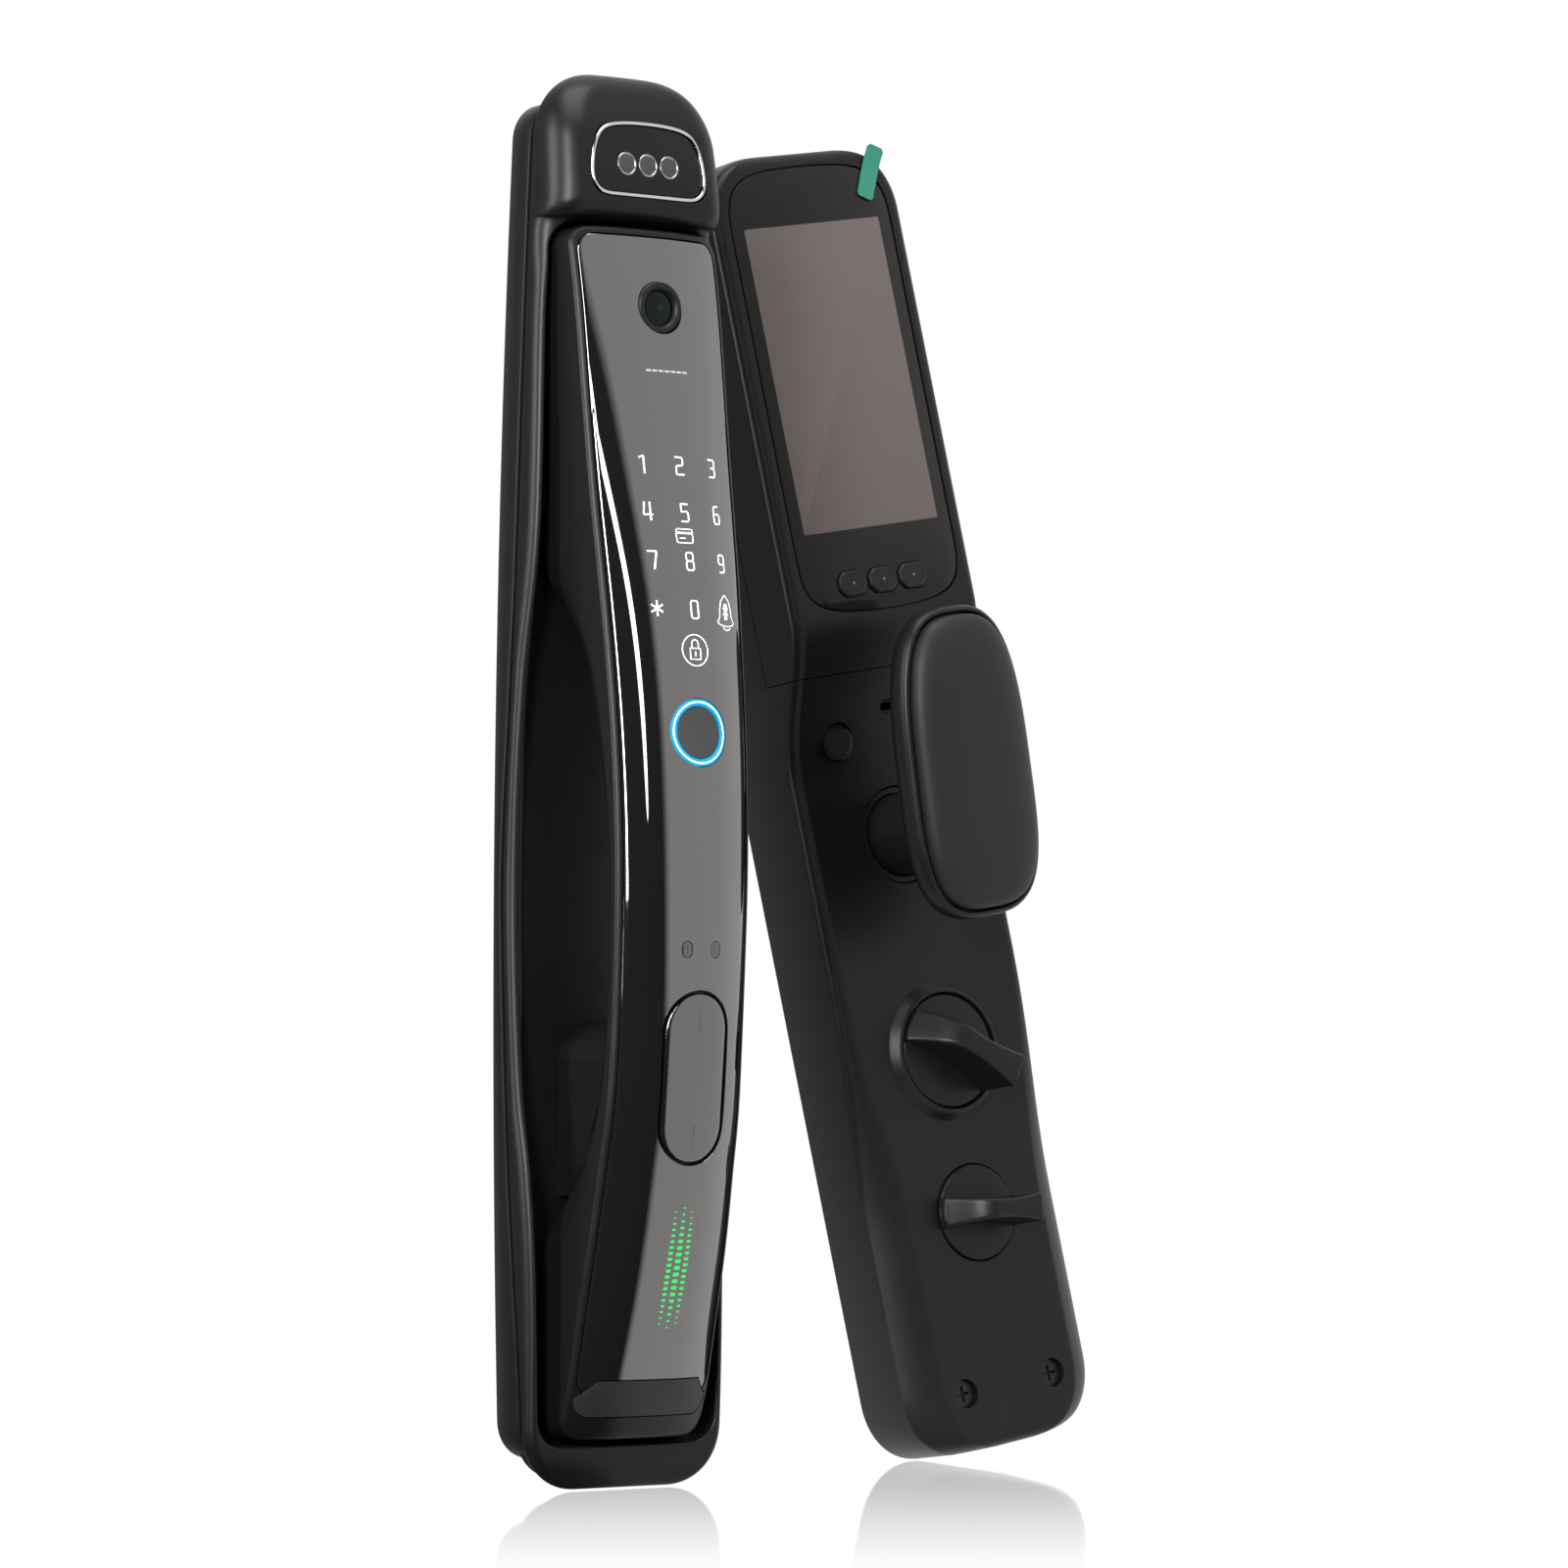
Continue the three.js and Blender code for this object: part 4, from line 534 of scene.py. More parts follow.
def window_outline(grow):
    w, h = WINDOW_HALF[0] + grow, WINDOW_HALF[1] + grow
    corners = [((w * 0.74, -h), (w * 1.02, -h), (w, -h * 0.42)),
               ((w, -h * 0.42), (w * 0.97, h * 0.5), (w * 0.78, h * 0.8)),
               ((w * 0.78, h * 0.8), (w * 0.62, h), (0, h))]
    right = np.array([point for corner in corners for point in bend(*corner, 22)])
    top = np.array([[0.0, h]])
    left = right[::-1] * [-1, 1]
    return smooth_outline(np.concatenate([right, top, left]), 160)


def smooth_outline(outline, count, passes=10):
    """Even spacing and slightly softened corners."""
    closed = np.concatenate([outline, outline[:1]])
    along = np.concatenate([[0], np.cumsum(np.linalg.norm(np.diff(closed, axis=0), axis=1))])
    even = np.linspace(0, along[-1], count, endpoint=False)
    points = np.stack([np.interp(even, along, closed[:, k]) for k in (0, 1)], 1)
    for _ in range(passes):
        points = (np.roll(points, 1, 0) + 2 * points + np.roll(points, -1, 0)) / 4
    return points


def on_dome(points):
    """Moves points drawn around the window centre into place on the dome."""
    x, d, z = np.asarray(points, float).T
    c, s = math.cos(WINDOW_TILT), math.sin(WINDOW_TILT)
    return np.stack([x, d * c - z * s + rim_depth(WINDOW_LEVEL), d * s + z * c + WINDOW_LEVEL], 1)


def build_face_window():
    outline = window_outline(0)
    arc = [(-BEZEL / 2 * (1 + math.cos(a)), 0.05 + 0.5 * math.sin(a)) for a in np.linspace(math.pi, 0, 9)]
    bezel = stack("window_rim", EXT, outline, [(-BEZEL, -WINDOW_SETBACK), *[(i, d) for i, d in arc[::-1]],
                                              (0, -WINDOW_SETBACK)], loop=True, place=on_dome)
    finish_piece(bezel, FIXED, "chrome_trim", replaces=["face_window_bezel"])
    pane = stack("window_pane", EXT, shrink(outline, 0.2),
                 [(0, -WINDOW_SETBACK), (0, -0.35), (0.12, -0.15), (0.4, -0.05)], place=on_dome)
    finish_piece(pane, FIXED, "touch_glass", window_black, ["face_window"])
    names = ["face_projector_lens", "face_camera_lens", "face_infrared_lens"]
    for index, node in enumerate(names):
        x = LENS_PITCH * (index - 1)
        rim = stack(node + "_rim", EXT, circle(LENS_RADIUS + 0.1, x, -LENS_DROP),
                    [(0, -0.2), (0, 0.02), (0.15, 0.12), (0.42, 0.12), (0.55, 0.0), (0.55, -0.2)],
                    loop=True, place=on_dome)
        finish_piece(rim, FIXED, "chrome_trim", silver_ring)
        lens = stack(node + "_glass", EXT, circle(LENS_RADIUS - 0.45, x, -LENS_DROP),
                     [(0, -1.2), (0, 0.0), (0.5, 0.07), (1.3, 0.16), (2.2, 0.21)], place=on_dome)
        finish_piece(lens, FIXED, "lens_dark", replaces=[node])


# ---------- outside unit: bow ----------
BOW_CORNER = 7.0
BOW_RIM = 1.9
PANEL_THICKNESS = 2.0
PANEL_BOTTOM = 33.0
PANEL_TOP = BOW_TOP - 2.5
CAP_HEIGHT = 11.0
CAP_BACK = 14.0
KEY_LEVEL = 123.4
BELL_LEVEL = T - 72.4
PRINT_LEVEL = 226.5
PRINT_RADIUS = 8.1
KEY_COVER_GAP = 1.2
PRINT_RING = 2.0
SENSOR_LEVEL = 161.7
SENSOR_PITCH = 10.4
KEY_HALF_WIDTH, KEY_HALF_HEIGHT = 10.9, 25.0
HINGE_DROP, HINGE_SETBACK = 6.0, 3.4
bow_front = curve_through([(15, 23.5), (33, 32.6), (65, 42.4), (94, 48.6), (123, 53.2), (M - 10, 55.8),
                           (M + 36, 54.6), (M + 77, 50), (T - 118, 42), (T - 72, 34.1), (BOW_TOP, 29)])
bow_crown = curve_through([(15, 4.6), (65, 9.6), (M, 9), (M + 80, 8.6), (T - 72, 4.6), (BOW_TOP, 4)])
panel_half_width = curve_through([(15, 24.2), (65, 24.0), (M - 60, 22.6), (M, 22.9), (M + 60, 23.9),
                                  (M + 110, 25), (BOW_TOP, 25.6)])
bow_chine = curve_through([(15, 14), (60, 16), (94, 27.5), (123, 38), (M - 8, 42.5), (M + 50, 35),
                           (M + 102, 17), (BOW_TOP, 16)])


def bow_edge(z):
    return bow_front(z) - bow_crown(z)


def bow_back(z):
    return np.maximum(BASIN_FLOOR + GAP, bow_chine(z) - 9)


def bow_surface(x, z):
    """Depth of the bow's crowned front."""
    share = np.abs(x) / panel_half_width(z)
    return bow_edge(z) + bow_crown(z) * (1 - np.minimum(share, 1.4) ** 2.4)


def crown_sheet(name, bottom, top, half_at, sink, thickness, corner, count=56, soft=0.0, step=3.0):
    """Curved sheet that follows the bow's front, with softened edges."""
    rows = levels(bottom, top, corner, step)
    rings = []
    for z in rows:
        end = min(z - bottom, top - z)
        half = half_at(z) - rounded_end(end, corner)
        x = half * np.sin(np.linspace(-math.pi / 2, math.pi / 2, count))
        x = 0.35 * x + 0.65 * np.linspace(-half, half, count)
        edge = np.minimum(half - np.abs(x), end)
        round_off = soft - np.sqrt(np.maximum(0, soft**2 - np.maximum(0, soft - edge) ** 2)) if soft else 0 * x
        row = np.stack([x, np.full(count, z)], 1)
        skin = bow_surface(x, z) - sink
        under = FAR if thickness == FAR else skin - thickness
        rings.append(np.concatenate([lay(row, skin - round_off), lay(row, under)[::-1]]))
    return loft(name, EXT, rings)


def bow_section(z, pinch):
    """Points of the bow's section from the back left corner round to the back right one."""
    half = panel_half_width(z) + BOW_RIM - pinch
    back = float(bow_back(z))
    chine = max(back + 0.5, float(bow_chine(z)))
    taper = 8 * float(blend(back, BASIN_FLOOR + 1, BASIN_FLOOR + 14))
    edge = float(bow_edge(z))
    corner_back, corner_side = np.array([-half + taper, back]), np.array([-half, chine])
    left = [corner_back]
    ahead = np.array([-half, edge - 2.2])
    soft = min(3.0, (edge - 2.2 - chine) * 0.45)
    start = corner_side + (corner_back - corner_side) * 0.3
    stop = corner_side + np.array([0, soft])
    left += bend(start, corner_side, stop, 9, True)
    inner_x = -(half - 2.0)
    inner = np.array([inner_x, float(bow_surface(inner_x, z))])
    knee = np.array([-half, inner[1] - 0.7])
    left = np.array(left + bend(ahead, knee, inner, 10, True))
    middle_x = np.linspace(inner_x, -inner_x, 34)[1:-1]
    middle = np.stack([middle_x, bow_surface(middle_x, z)], 1)
    section = np.concatenate([left, middle, left[::-1] * [-1, 1]])
    return np.stack([section[:, 0], section[:, 1], np.full(len(section), z)], 1)


def bow_body(name):
    rings = []
    for z in levels(BOW_BOTTOM, BOW_TOP, BOW_CORNER, 3.0):
        end = min(z - BOW_BOTTOM, BOW_TOP - z)
        rings.append(bow_section(z, float(rounded_end(end, BOW_CORNER))))
    rings = np.array(rings)
    soften = 1.6
    for ring in rings:
        end = min(ring[0, 2] - BOW_BOTTOM, BOW_TOP - ring[0, 2])
        lost = float(rounded_end(end, soften))
        ring[:, 1] = np.where(ring[:, 1] > CAP_BACK, ring[:, 1] - lost, ring[:, 1])
    return loft(name, EXT, rings)


def block(name, unit, low, high):
    corners = [(x, d, z) for x in (low[0], high[0]) for d in (low[1], high[1]) for z in (low[2], high[2])]
    faces = [(0, 1, 3, 2), (4, 5, 7, 6), (0, 1, 5, 4), (2, 3, 7, 6), (0, 2, 6, 4), (1, 3, 7, 5)]
    return mesh_object(name, unit, corners, faces)


def key_outline(grow):
    half_width = KEY_HALF_WIDTH + grow
    return rounded_rectangle(half_width, KEY_HALF_HEIGHT + grow, half_width, 0, KEY_LEVEL, 24)


def sensor_outline(side, grow):
    return rounded_rectangle(1.6 + grow, 2.4 + grow, 1.6 + grow, side * SENSOR_PITCH / 2, SENSOR_LEVEL, 12)


def cap_profile(grow):
    """Outline of the end cap seen from the front: chamfered above, rounded below."""
    top = PANEL_BOTTOM - GAP / 2 + grow
    low = PANEL_BOTTOM - CAP_HEIGHT - grow
    side = float(panel_half_width(PANEL_BOTTOM)) + grow
    corner = 5.5 + grow
    foot = [(side - corner + corner * math.sin(a), low + corner - corner * math.cos(a))
            for a in np.linspace(0, math.pi / 2, 14)]
    right = foot + [(side, top - 4.6), (22.5, top - 4), (18.5, top)]
    return np.array(right + [(-x, z) for x, z in right[::-1]])


def build_bow():
    frame_body = bow_body("bow_body")
    pocket = crown_sheet("pocket", PANEL_BOTTOM - GAP - 5, PANEL_TOP + GAP, lambda z: panel_half_width(z) + GAP,
                         PANEL_THICKNESS + GAP, FAR, BOW_CORNER)
    cut(frame_body, pocket)
    seat = stack("cap_seat", EXT, cap_profile(0.35), [(0, CAP_BACK - GAP), (0, FAR)])
    cut(frame_body, seat)
    finish_piece(frame_body, FIXED, "satin_black_metal", replaces=["bow_handle_frame"])
    cap = bow_body("bow_end_cap")
    cut(cap, stack("cap_limit", EXT, cap_profile(0), [(0, CAP_BACK), (0, FAR)]), "INTERSECT")
    bevel(cap, 0.5, 3, 40)
    finish_piece(cap, FIXED, "satin_black_metal", cap_black, ["handle_end_cap"])

    panel = crown_sheet("touch_face", PANEL_BOTTOM - 4.5, PANEL_TOP, panel_half_width, 0, PANEL_THICKNESS,
                        BOW_CORNER - 1, 72, soft=0.7, step=2.5)
    cut(panel, stack("cap_room", EXT, cap_profile(0.4), [(0, 0), (0, FAR)]))
    cut(panel, stack("bell_hole", EXT, circle(8.1, 0, BELL_LEVEL), [(0, 0), (0, FAR)]))
    cut(panel, stack("print_hole", EXT, circle(PRINT_RADIUS + PRINT_RING + 0.25, 0, PRINT_LEVEL, 128),
                     [(0, 0), (0, FAR)]))
    cut(panel, stack("key_hole", EXT, key_outline(KEY_COVER_GAP), [(0, 0), (0, FAR)]))
    for side in (-1, 1):
        cut(panel, stack("sensor_hole", EXT, sensor_outline(side, 0.2), [(0, 0), (0, FAR)]))
    finish_piece(panel, FIXED, "touch_glass", replaces=["touch_panel"])


def follow(sink):
    return lambda x, z: bow_surface(x, z) - sink


def build_bow_fittings():
    front = float(bow_front(BELL_LEVEL))
    barrel = stack("bell_barrel", EXT, circle(7.85, 0, BELL_LEVEL),
                   [(0, front - 9), (0, front - 0.1), (0.25, front + 0.35), (0.8, front + 0.5),
                    (1.6, front + 0.35), (2.2, front - 0.2), (2.5, front - 0.9), (2.5, front - 9)], loop=True)
    finish_piece(barrel, FIXED, "black_plastic", replaces=["doorbell_camera_barrel"])
    lens = stack("bell_lens", EXT, circle(5.3, 0, BELL_LEVEL),
                 [(0, front - 5.6), (0, front - 1.0), (0.8, front - 0.65), (2.0, front - 0.35),
                  (3.4, front - 0.2), (4.6, front - 0.15)])
    finish_piece(lens, FIXED, "lens_dark", lens_green, ["doorbell_camera_lens"])
    iris = stack("bell_iris", EXT, circle(1.15, 0, BELL_LEVEL, 40),
                 [(0, front - 0.16), (0.1, front - 0.1), (0.7, front - 0.07)])
    finish_piece(iris, FIXED, "lens_dark", window_black)

    outer = PRINT_RADIUS + PRINT_RING
    guide = stack("print_glow", EXT, circle(outer, 0, PRINT_LEVEL, 128),
                  [(0, follow(3)), (0, follow(0.15)), (0.15, follow(0.0)), (PRINT_RING - 0.1, follow(0.0)),
                   (PRINT_RING + 0.05, follow(0.15)), (PRINT_RING + 0.05, follow(3))], loop=True)
    finish_piece(guide, FIXED, "ring_light", replaces=["fingerprint_light_ring"])
    core = stack("print_core", EXT, circle(outer - 0.72, 0, PRINT_LEVEL, 128),
                 [(0, follow(0.05)), (0.03, follow(-0.05)), (0.36, follow(-0.05)), (0.4, follow(0.05))],
                 loop=True)
    finish_piece(core, FIXED, "ring_light", ring_core)
    pad = stack("print_pad", EXT, circle(PRINT_RADIUS - 0.12, 0, PRINT_LEVEL, 96),
                [(0, follow(3)), (0, follow(0.6)), (0.3, follow(0.35)), (1.2, follow(0.35)),
                 (4, follow(0.5)), (7, follow(0.62))])
    finish_piece(pad, FIXED, "sensor_dark", replaces=["fingerprint_sensor"])

    for node, side in (("presence_sensor_left", -1), ("presence_sensor_right", 1)):
        window = stack(node + "_window", EXT, sensor_outline(side, 0),
                       [(0, follow(1.8)), (0, follow(0.12)), (0.2, follow(0.02)), (1.2, follow(0.0))])
        finish_piece(window, FIXED, "sensor_dark", sensor_glass, [node])

    rim = stack("key_opening_rim", EXT, key_outline(KEY_COVER_GAP),
                [(-0.02, follow(1.9)), (-0.02, follow(0.1)), (0.02, follow(-0.02)), (0.08, follow(0.06)),
                 (0.1, follow(1.9))], loop=True)
    finish_piece(rim, FIXED, "touch_glass")


def build_key_cover():
    outline = key_outline(0)
    cover = stack("key_lid", EXT, outline,
                  [(0.2, follow(1.8)), (0, follow(1.5)), (0, follow(0.42)), (0.12, follow(0.16)),
                   (0.42, follow(0.0)), (1.4, follow(0.0)), (4, follow(0.0)), (7, follow(0.0)),
                   (9.5, follow(0.0)), (10.7, follow(0.0))])
    finish_piece(cover, "key_cover", "key_cover_gloss", replaces=["key_cover"])
    hinge_level = KEY_LEVEL + KEY_HALF_HEIGHT - HINGE_DROP
    depth = float(bow_front(hinge_level)) - HINGE_SETBACK
    knuckle = loft("key_lid_knuckle", EXT, [
        [(x, depth + 1.55 * math.cos(a), hinge_level + 1.55 * math.sin(a))
         for a in np.linspace(0, 2 * math.pi, 40, endpoint=False)] for x in (-3.5, -3.3, 3.3, 3.5)])
    web = block("web", EXT, (-3.5, depth, hinge_level - 1.2), (3.5, depth + 2.2, hinge_level + 1.2))
    cut(knuckle, web, "UNION")
    finish_piece(knuckle, "key_cover", "key_cover_gloss")


# ---------- figures and signal lights on the touch panel ----------
FIGURE_TOP = 1.6               # figures are drawn about 1 wide and this high
FIGURES = {
    "1": [[(0.18, 1.42), (0.55, 1.6), (0.62, 1.5), (0.62, 0)]],
    "2": [[(0.05, 1.6), (0.8, 1.6), (0.95, 1.45), (0.95, 0.98), (0.8, 0.84), (0.2, 0.8), (0.05, 0.66),
           (0.05, 0), (0.98, 0)]],
    "3": [[(0.05, 1.6), (0.8, 1.6), (0.95, 1.45), (0.95, 0.95), (0.82, 0.82), (0.4, 0.82)],
          [(0.82, 0.82), (0.95, 0.68), (0.95, 0.15), (0.8, 0), (0.05, 0)]],
    "4": [[(0.2, 1.6), (0.05, 0.5), (1.0, 0.5)], [(0.78, 1.6), (0.78, 0)]],
    "5": [[(0.92, 1.6), (0.08, 1.6), (0.08, 0.9), (0.8, 0.9), (0.95, 0.75), (0.95, 0.15), (0.8, 0), (0.05, 0)]],
    "6": [[(0.8, 1.6), (0.25, 1.6), (0.06, 1.42), (0.06, 0.15), (0.2, 0), (0.8, 0), (0.95, 0.15), (0.95, 0.72),
           (0.8, 0.88), (0.06, 0.88)]],
    "7": [[(0.03, 1.6), (0.9, 1.6), (0.95, 1.5), (0.62, 0)]],
    "8": [[(0.2, 0.84), (0.06, 0.98), (0.06, 1.45), (0.2, 1.6), (0.8, 1.6), (0.94, 1.45), (0.94, 0.98),
           (0.8, 0.84), (0.2, 0.84), (0.04, 0.68), (0.04, 0.15), (0.2, 0), (0.8, 0), (0.96, 0.15), (0.96, 0.68),
           (0.8, 0.84)]],
    "9": [[(0.94, 0.74), (0.2, 0.74), (0.05, 0.9), (0.05, 1.45), (0.2, 1.6), (0.8, 1.6), (0.94, 1.45),
           (0.94, 0.18), (0.76, 0), (0.2, 0)]],
    "0": [[(0.2, 0), (0.05, 0.15), (0.05, 1.45), (0.2, 1.6), (0.8, 1.6), (0.95, 1.45), (0.95, 0.15), (0.8, 0),
           (0.2, 0)]],
    "*": [[(0.5, 1.45), (0.5, 0.15)], [(-0.06, 1.12), (1.06, 0.48)], [(-0.06, 0.48), (1.06, 1.12)]],
    "#": [[(0.36, 1.5), (0.3, 0.1)], [(0.7, 1.5), (0.64, 0.1)], [(0.1, 1.08), (0.92, 1.08)],
          [(0.08, 0.56), (0.9, 0.56)]],
}


STROKE_BASE, STROKE_TOP = -0.05, 0.1


def ribbon(points, width, faces, vertices):
    """Raised stroke along a line of (x, z) points on the bow's front."""
    points = np.array(points, float)
    fine = [points[0]]
    for a, b in zip(points[:-1], points[1:]):
        steps = max(1, int(np.linalg.norm(b - a) / 0.8))
        fine += [a + (b - a) * (k + 1) / steps for k in range(steps)]
    fine = np.array(fine)
    step = np.diff(fine, axis=0)
    step /= np.maximum(np.linalg.norm(step, axis=1)[:, None], 1e-9)
    tangent = np.concatenate([step[:1], step[:-1] + step[1:], step[-1:]])
    tangent /= np.maximum(np.linalg.norm(tangent, axis=1)[:, None], 1e-9)
    side = np.stack([-tangent[:, 1], tangent[:, 0]], 1) * width / 2
    fine[0] -= tangent[0] * width * 0.35
    fine[-1] += tangent[-1] * width * 0.35
    rings = []
    for sign, height in ((-1, STROKE_BASE), (-1, STROKE_TOP), (1, STROKE_TOP), (1, STROKE_BASE)):
        flat = fine + sign * side
        rings.append(np.stack([flat[:, 0], bow_surface(flat[:, 0], flat[:, 1]) + height, flat[:, 1]], 1))
    start = len(vertices)
    count = len(fine)
    vertices.extend(np.concatenate(rings).tolist())
    for k in range(count - 1):
        for r in range(4):
            n = (r + 1) % 4
            faces.append((start + r * count + k, start + r * count + k + 1, start + n * count + k + 1,
                          start + n * count + k))
    faces.append(tuple(start + r * count for r in range(4)))
    faces.append(tuple(start + r * count + count - 1 for r in range(4)))


def strokes(name, lines, width, material):
    vertices, faces = [], []
    for line in lines:
        ribbon(line, width, faces, vertices)
    finish_piece(mesh_object(name, EXT, vertices, faces, 20), FIXED, "touch_glass", material)


def arc_line(x, z, radius_x, radius_z, start, end, count=28):
    return [(x + radius_x * math.cos(a), z + radius_z * math.sin(a))
            for a in np.radians(np.linspace(start, end, count))]


def build_figures():
    key_width, key_height = 2.9, 5.3
    columns = (-11.8, 1.0, 14.4)
    rows = (307.2, 292.9, 278.1, 263.5)
    figures = ("123", "456", "789", "*0#")
    lines = []
    for row, text in zip(rows, figures):
        for column, figure in zip(columns, text):
            for part in FIGURES[figure]:
                lines.append([(column + (u - 0.5) * key_width, row + (v / FIGURE_TOP - 0.5) * key_height)
                              for u, v in part])
    strokes("keypad_figures", lines, 0.44, figure_white)

    bell_x, bell_z = columns[2], rows[3]
    right = [(0.0, 5.0), (0.9, 4.3), (2.2, 3.0), (2.9, 0.6), (3.1, -1.6), (4.3, -3.4), (3.0, -4.1), (0.0, -4.5)]
    bell = [(bell_x + x, bell_z + z) for x, z in right] + [(bell_x - x, bell_z + z) for x, z in right[::-1]]
    clapper = arc_line(bell_x, bell_z - 3.2, 2.6, 2.4, 225, 315, 10)
    padlock_z = 251.2
    ring = arc_line(0, padlock_z, 4.7, 4.7, 0, 360, 48)
    body = [(-1.9, -2.7), (1.9, -2.7), (1.9, 0.6), (-1.9, 0.6), (-1.9, -2.7)]
    padlock = [(x, padlock_z + z) for x, z in body]
    shackle = [(-1.2, padlock_z + 0.7), *arc_line(0, padlock_z + 1.9, 1.2, 1.3, 180, 0, 14),
               (1.2, padlock_z + 0.7)]
    slot_line = [(0, padlock_z - 0.4), (0, padlock_z - 1.7)]
    card_z = 285.8
    card = [(x, card_z + z) for x, z in rounded_rectangle(3.0, 2.1, 0.7)]
    card.append(card[0])
    stripe = [(-2.9, card_z + 0.9), (2.9, card_z + 0.9)]
    chip = [(-1.7, card_z - 0.7), (0.2, card_z - 0.7)]
    strokes("keypad_icons", [bell, clapper, ring, padlock, shackle, slot_line, card, chip], 0.28, figure_white)
    strokes("card_stripe", [stripe], 0.55, figure_white)

    greeting_z = 336.2
    marks = [[(x, greeting_z - 0.15), (x + 1.3, greeting_z - 0.15)] for x in np.arange(-7.4, 7.0, 2.25)]
    strokes("greeting_marks", marks, 0.55, mark_white)


def build_signal_lights():
    """Three rows of small lit dashes, largest in the middle."""
    vertices, faces = [], []
    bar_bottom, bar_top, overhang = 50.0, 83.5, 1.2
    for x, count, largest in ((-3.0, 20, 1.0), (0.0, 19, 1.25), (3.0, 20, 1.0)):
        for k in range(count):
            share = k / (count - 1)
            z = bar_bottom + (bar_top - bar_bottom) * share
            if x == 0:
                z += overhang * (2 * share - 1)
            size = largest * (0.28 + 0.72 * math.sin(math.pi * min(max(share * 1.02, 0.02), 0.98)) ** 0.75)
            half_w, half_h = 0.86 * size, 0.46 * size
            outline = rounded_rectangle(half_w, half_h, half_h * 0.8, x, z, 4)
            start, size_of_ring = len(vertices), len(outline)
            low, high = (list(range(start + size_of_ring * k, start + size_of_ring * (k + 1))) for k in (0, 1))
            for lift in (-0.05, 0.07):
                vertices.extend([(px, float(bow_surface(px, pz)) + lift, pz) for px, pz in outline])
            faces += [*bridge(low, high), tuple(low), tuple(high)]
    finish_piece(mesh_object("signal_dashes", EXT, vertices, faces, 20), FIXED, "touch_glass", led_green)


# ---------- inside unit ----------
INT_HALF_WIDTH = 38.8
INT_CORNER = 22.0
UPPER_DEPTH, LOWER_DEPTH = 45.0, 29.5
STEP_TOP = INT_HEIGHT - 150
COVER_SEAM = INT_HEIGHT - 168.5
COVER_SEAM_DEPTH = 24.3
BIG_LEVEL, SMALL_LEVEL, STEM_LEVEL = 127.7, 74.9, 199.0
BIG_RADIUS, SMALL_RADIUS = 18.4, 15.4
KNOB_GAP = 0.6
STEM_RADIUS = 13.2
SCREEN_FLOOR = UPPER_DEPTH - 1.6
BUTTON_LEVEL = INT_HEIGHT - 140.7
BUTTON_PITCH = 12.6
ABOVE = 900.0                  # higher than the unit
PLATE_ROOM = 1.8               # depth left free for the mounting plate
OPEN_X, OPEN_LEVEL, OPEN_RADIUS = -20.2, 231.6, 6.0
PORT_X, PORT_LEVEL = 2.4, 240.4
SCREW_X, SCREW_LEVEL = 18.4, 19.0


def int_depth(z):
    return LOWER_DEPTH + (UPPER_DEPTH - LOWER_DEPTH) * blend(z, STEP_TOP - 50, STEP_TOP)


def interior_body(name, offset=0.0, back=0.0):
    rings = []
    bottom, top = offset, INT_HEIGHT - offset
    for z in levels(bottom, top, INT_CORNER, 3.0, 22):
        end = min(z - bottom, top - z)
        half = INT_HALF_WIDTH - offset - float(rounded_end(end, INT_CORNER))
        front = float(int_depth(z)) - offset - float(rounded_end(end, 5.0))
        narrow = float(blend(z, SMALL_LEVEL, BIG_LEVEL + 30))
        inset, fall = 11 - 7 * narrow, 7.5 - 4.3 * narrow
        left = [(-half + 0.8, back), (-half + 0.2, back + 0.25), (-half, back + 0.9),
                (-half, max(back + 1.2, front - fall - 1.2))]
        for angle in np.linspace(0, math.pi / 2, 18):
            run, rise = 1 - math.cos(angle), math.sin(angle)
            share = angle / (math.pi / 2)
            flat = 0.72 * (1 - narrow)
            left.append((-half + inset * (run + (share - run) * flat),
                         front - fall + fall * (rise + (share - rise) * flat)))
        left = np.array(left)
        reach = half - inset
        middle_x = np.concatenate([[-reach + 1], np.linspace(-reach + 4, reach - 4, 12), [reach - 1]])
        middle = np.stack([middle_x, np.full(len(middle_x), front)], 1)
        section = np.concatenate([left, middle, left[::-1] * [-1, 1]])
        rings.append(np.stack([section[:, 0], section[:, 1], np.full(len(section), z)], 1))
    return loft(name, INT, rings, sharp=40)


def drum(name, unit, x, z, radius, low, high, count=96):
    return stack(name, unit, circle(radius, x, z, count), [(0, low), (0, high)])


def glass_outline(grow):
    w, top, bottom = 33.0 + grow, INT_HEIGHT - 5 + grow, INT_HEIGHT - 150 - grow
    curves = [((0, bottom), (w * 0.8, bottom), (w * 0.93, bottom + 6)),
              ((w * 0.93, bottom + 6), (w, bottom + 8.5), (w, bottom + 16)),
              ((w, bottom + 16), (w, (top + bottom) / 2), (w, top - 16)),
              ((w, top - 16), (w, top - 3), (w * 0.6, top - 1)),
              ((w * 0.6, top - 1), (w * 0.3, top), (0, top))]
    right = np.array([point for curve in curves for point in bend(*curve, 30)])
    left = np.concatenate([[[0, top]], right[:0:-1] * [-1, 1]])
    return smooth_outline(np.concatenate([right, left]), 260, 14)


def button_outline(index, grow):
    """Rounded octagon."""
    w, h, c = 5.7 + grow, 4.1 + grow, 2.3
    x = BUTTON_PITCH * (index - 1)
    corners = [(w, -h + c), (w, h - c), (w - c, h), (-w + c, h), (-w, h - c), (-w, -h + c), (-w + c, -h),
               (w - c, -h)]
    return smooth_outline(np.array(corners), 72, 4) + [x, BUTTON_LEVEL]


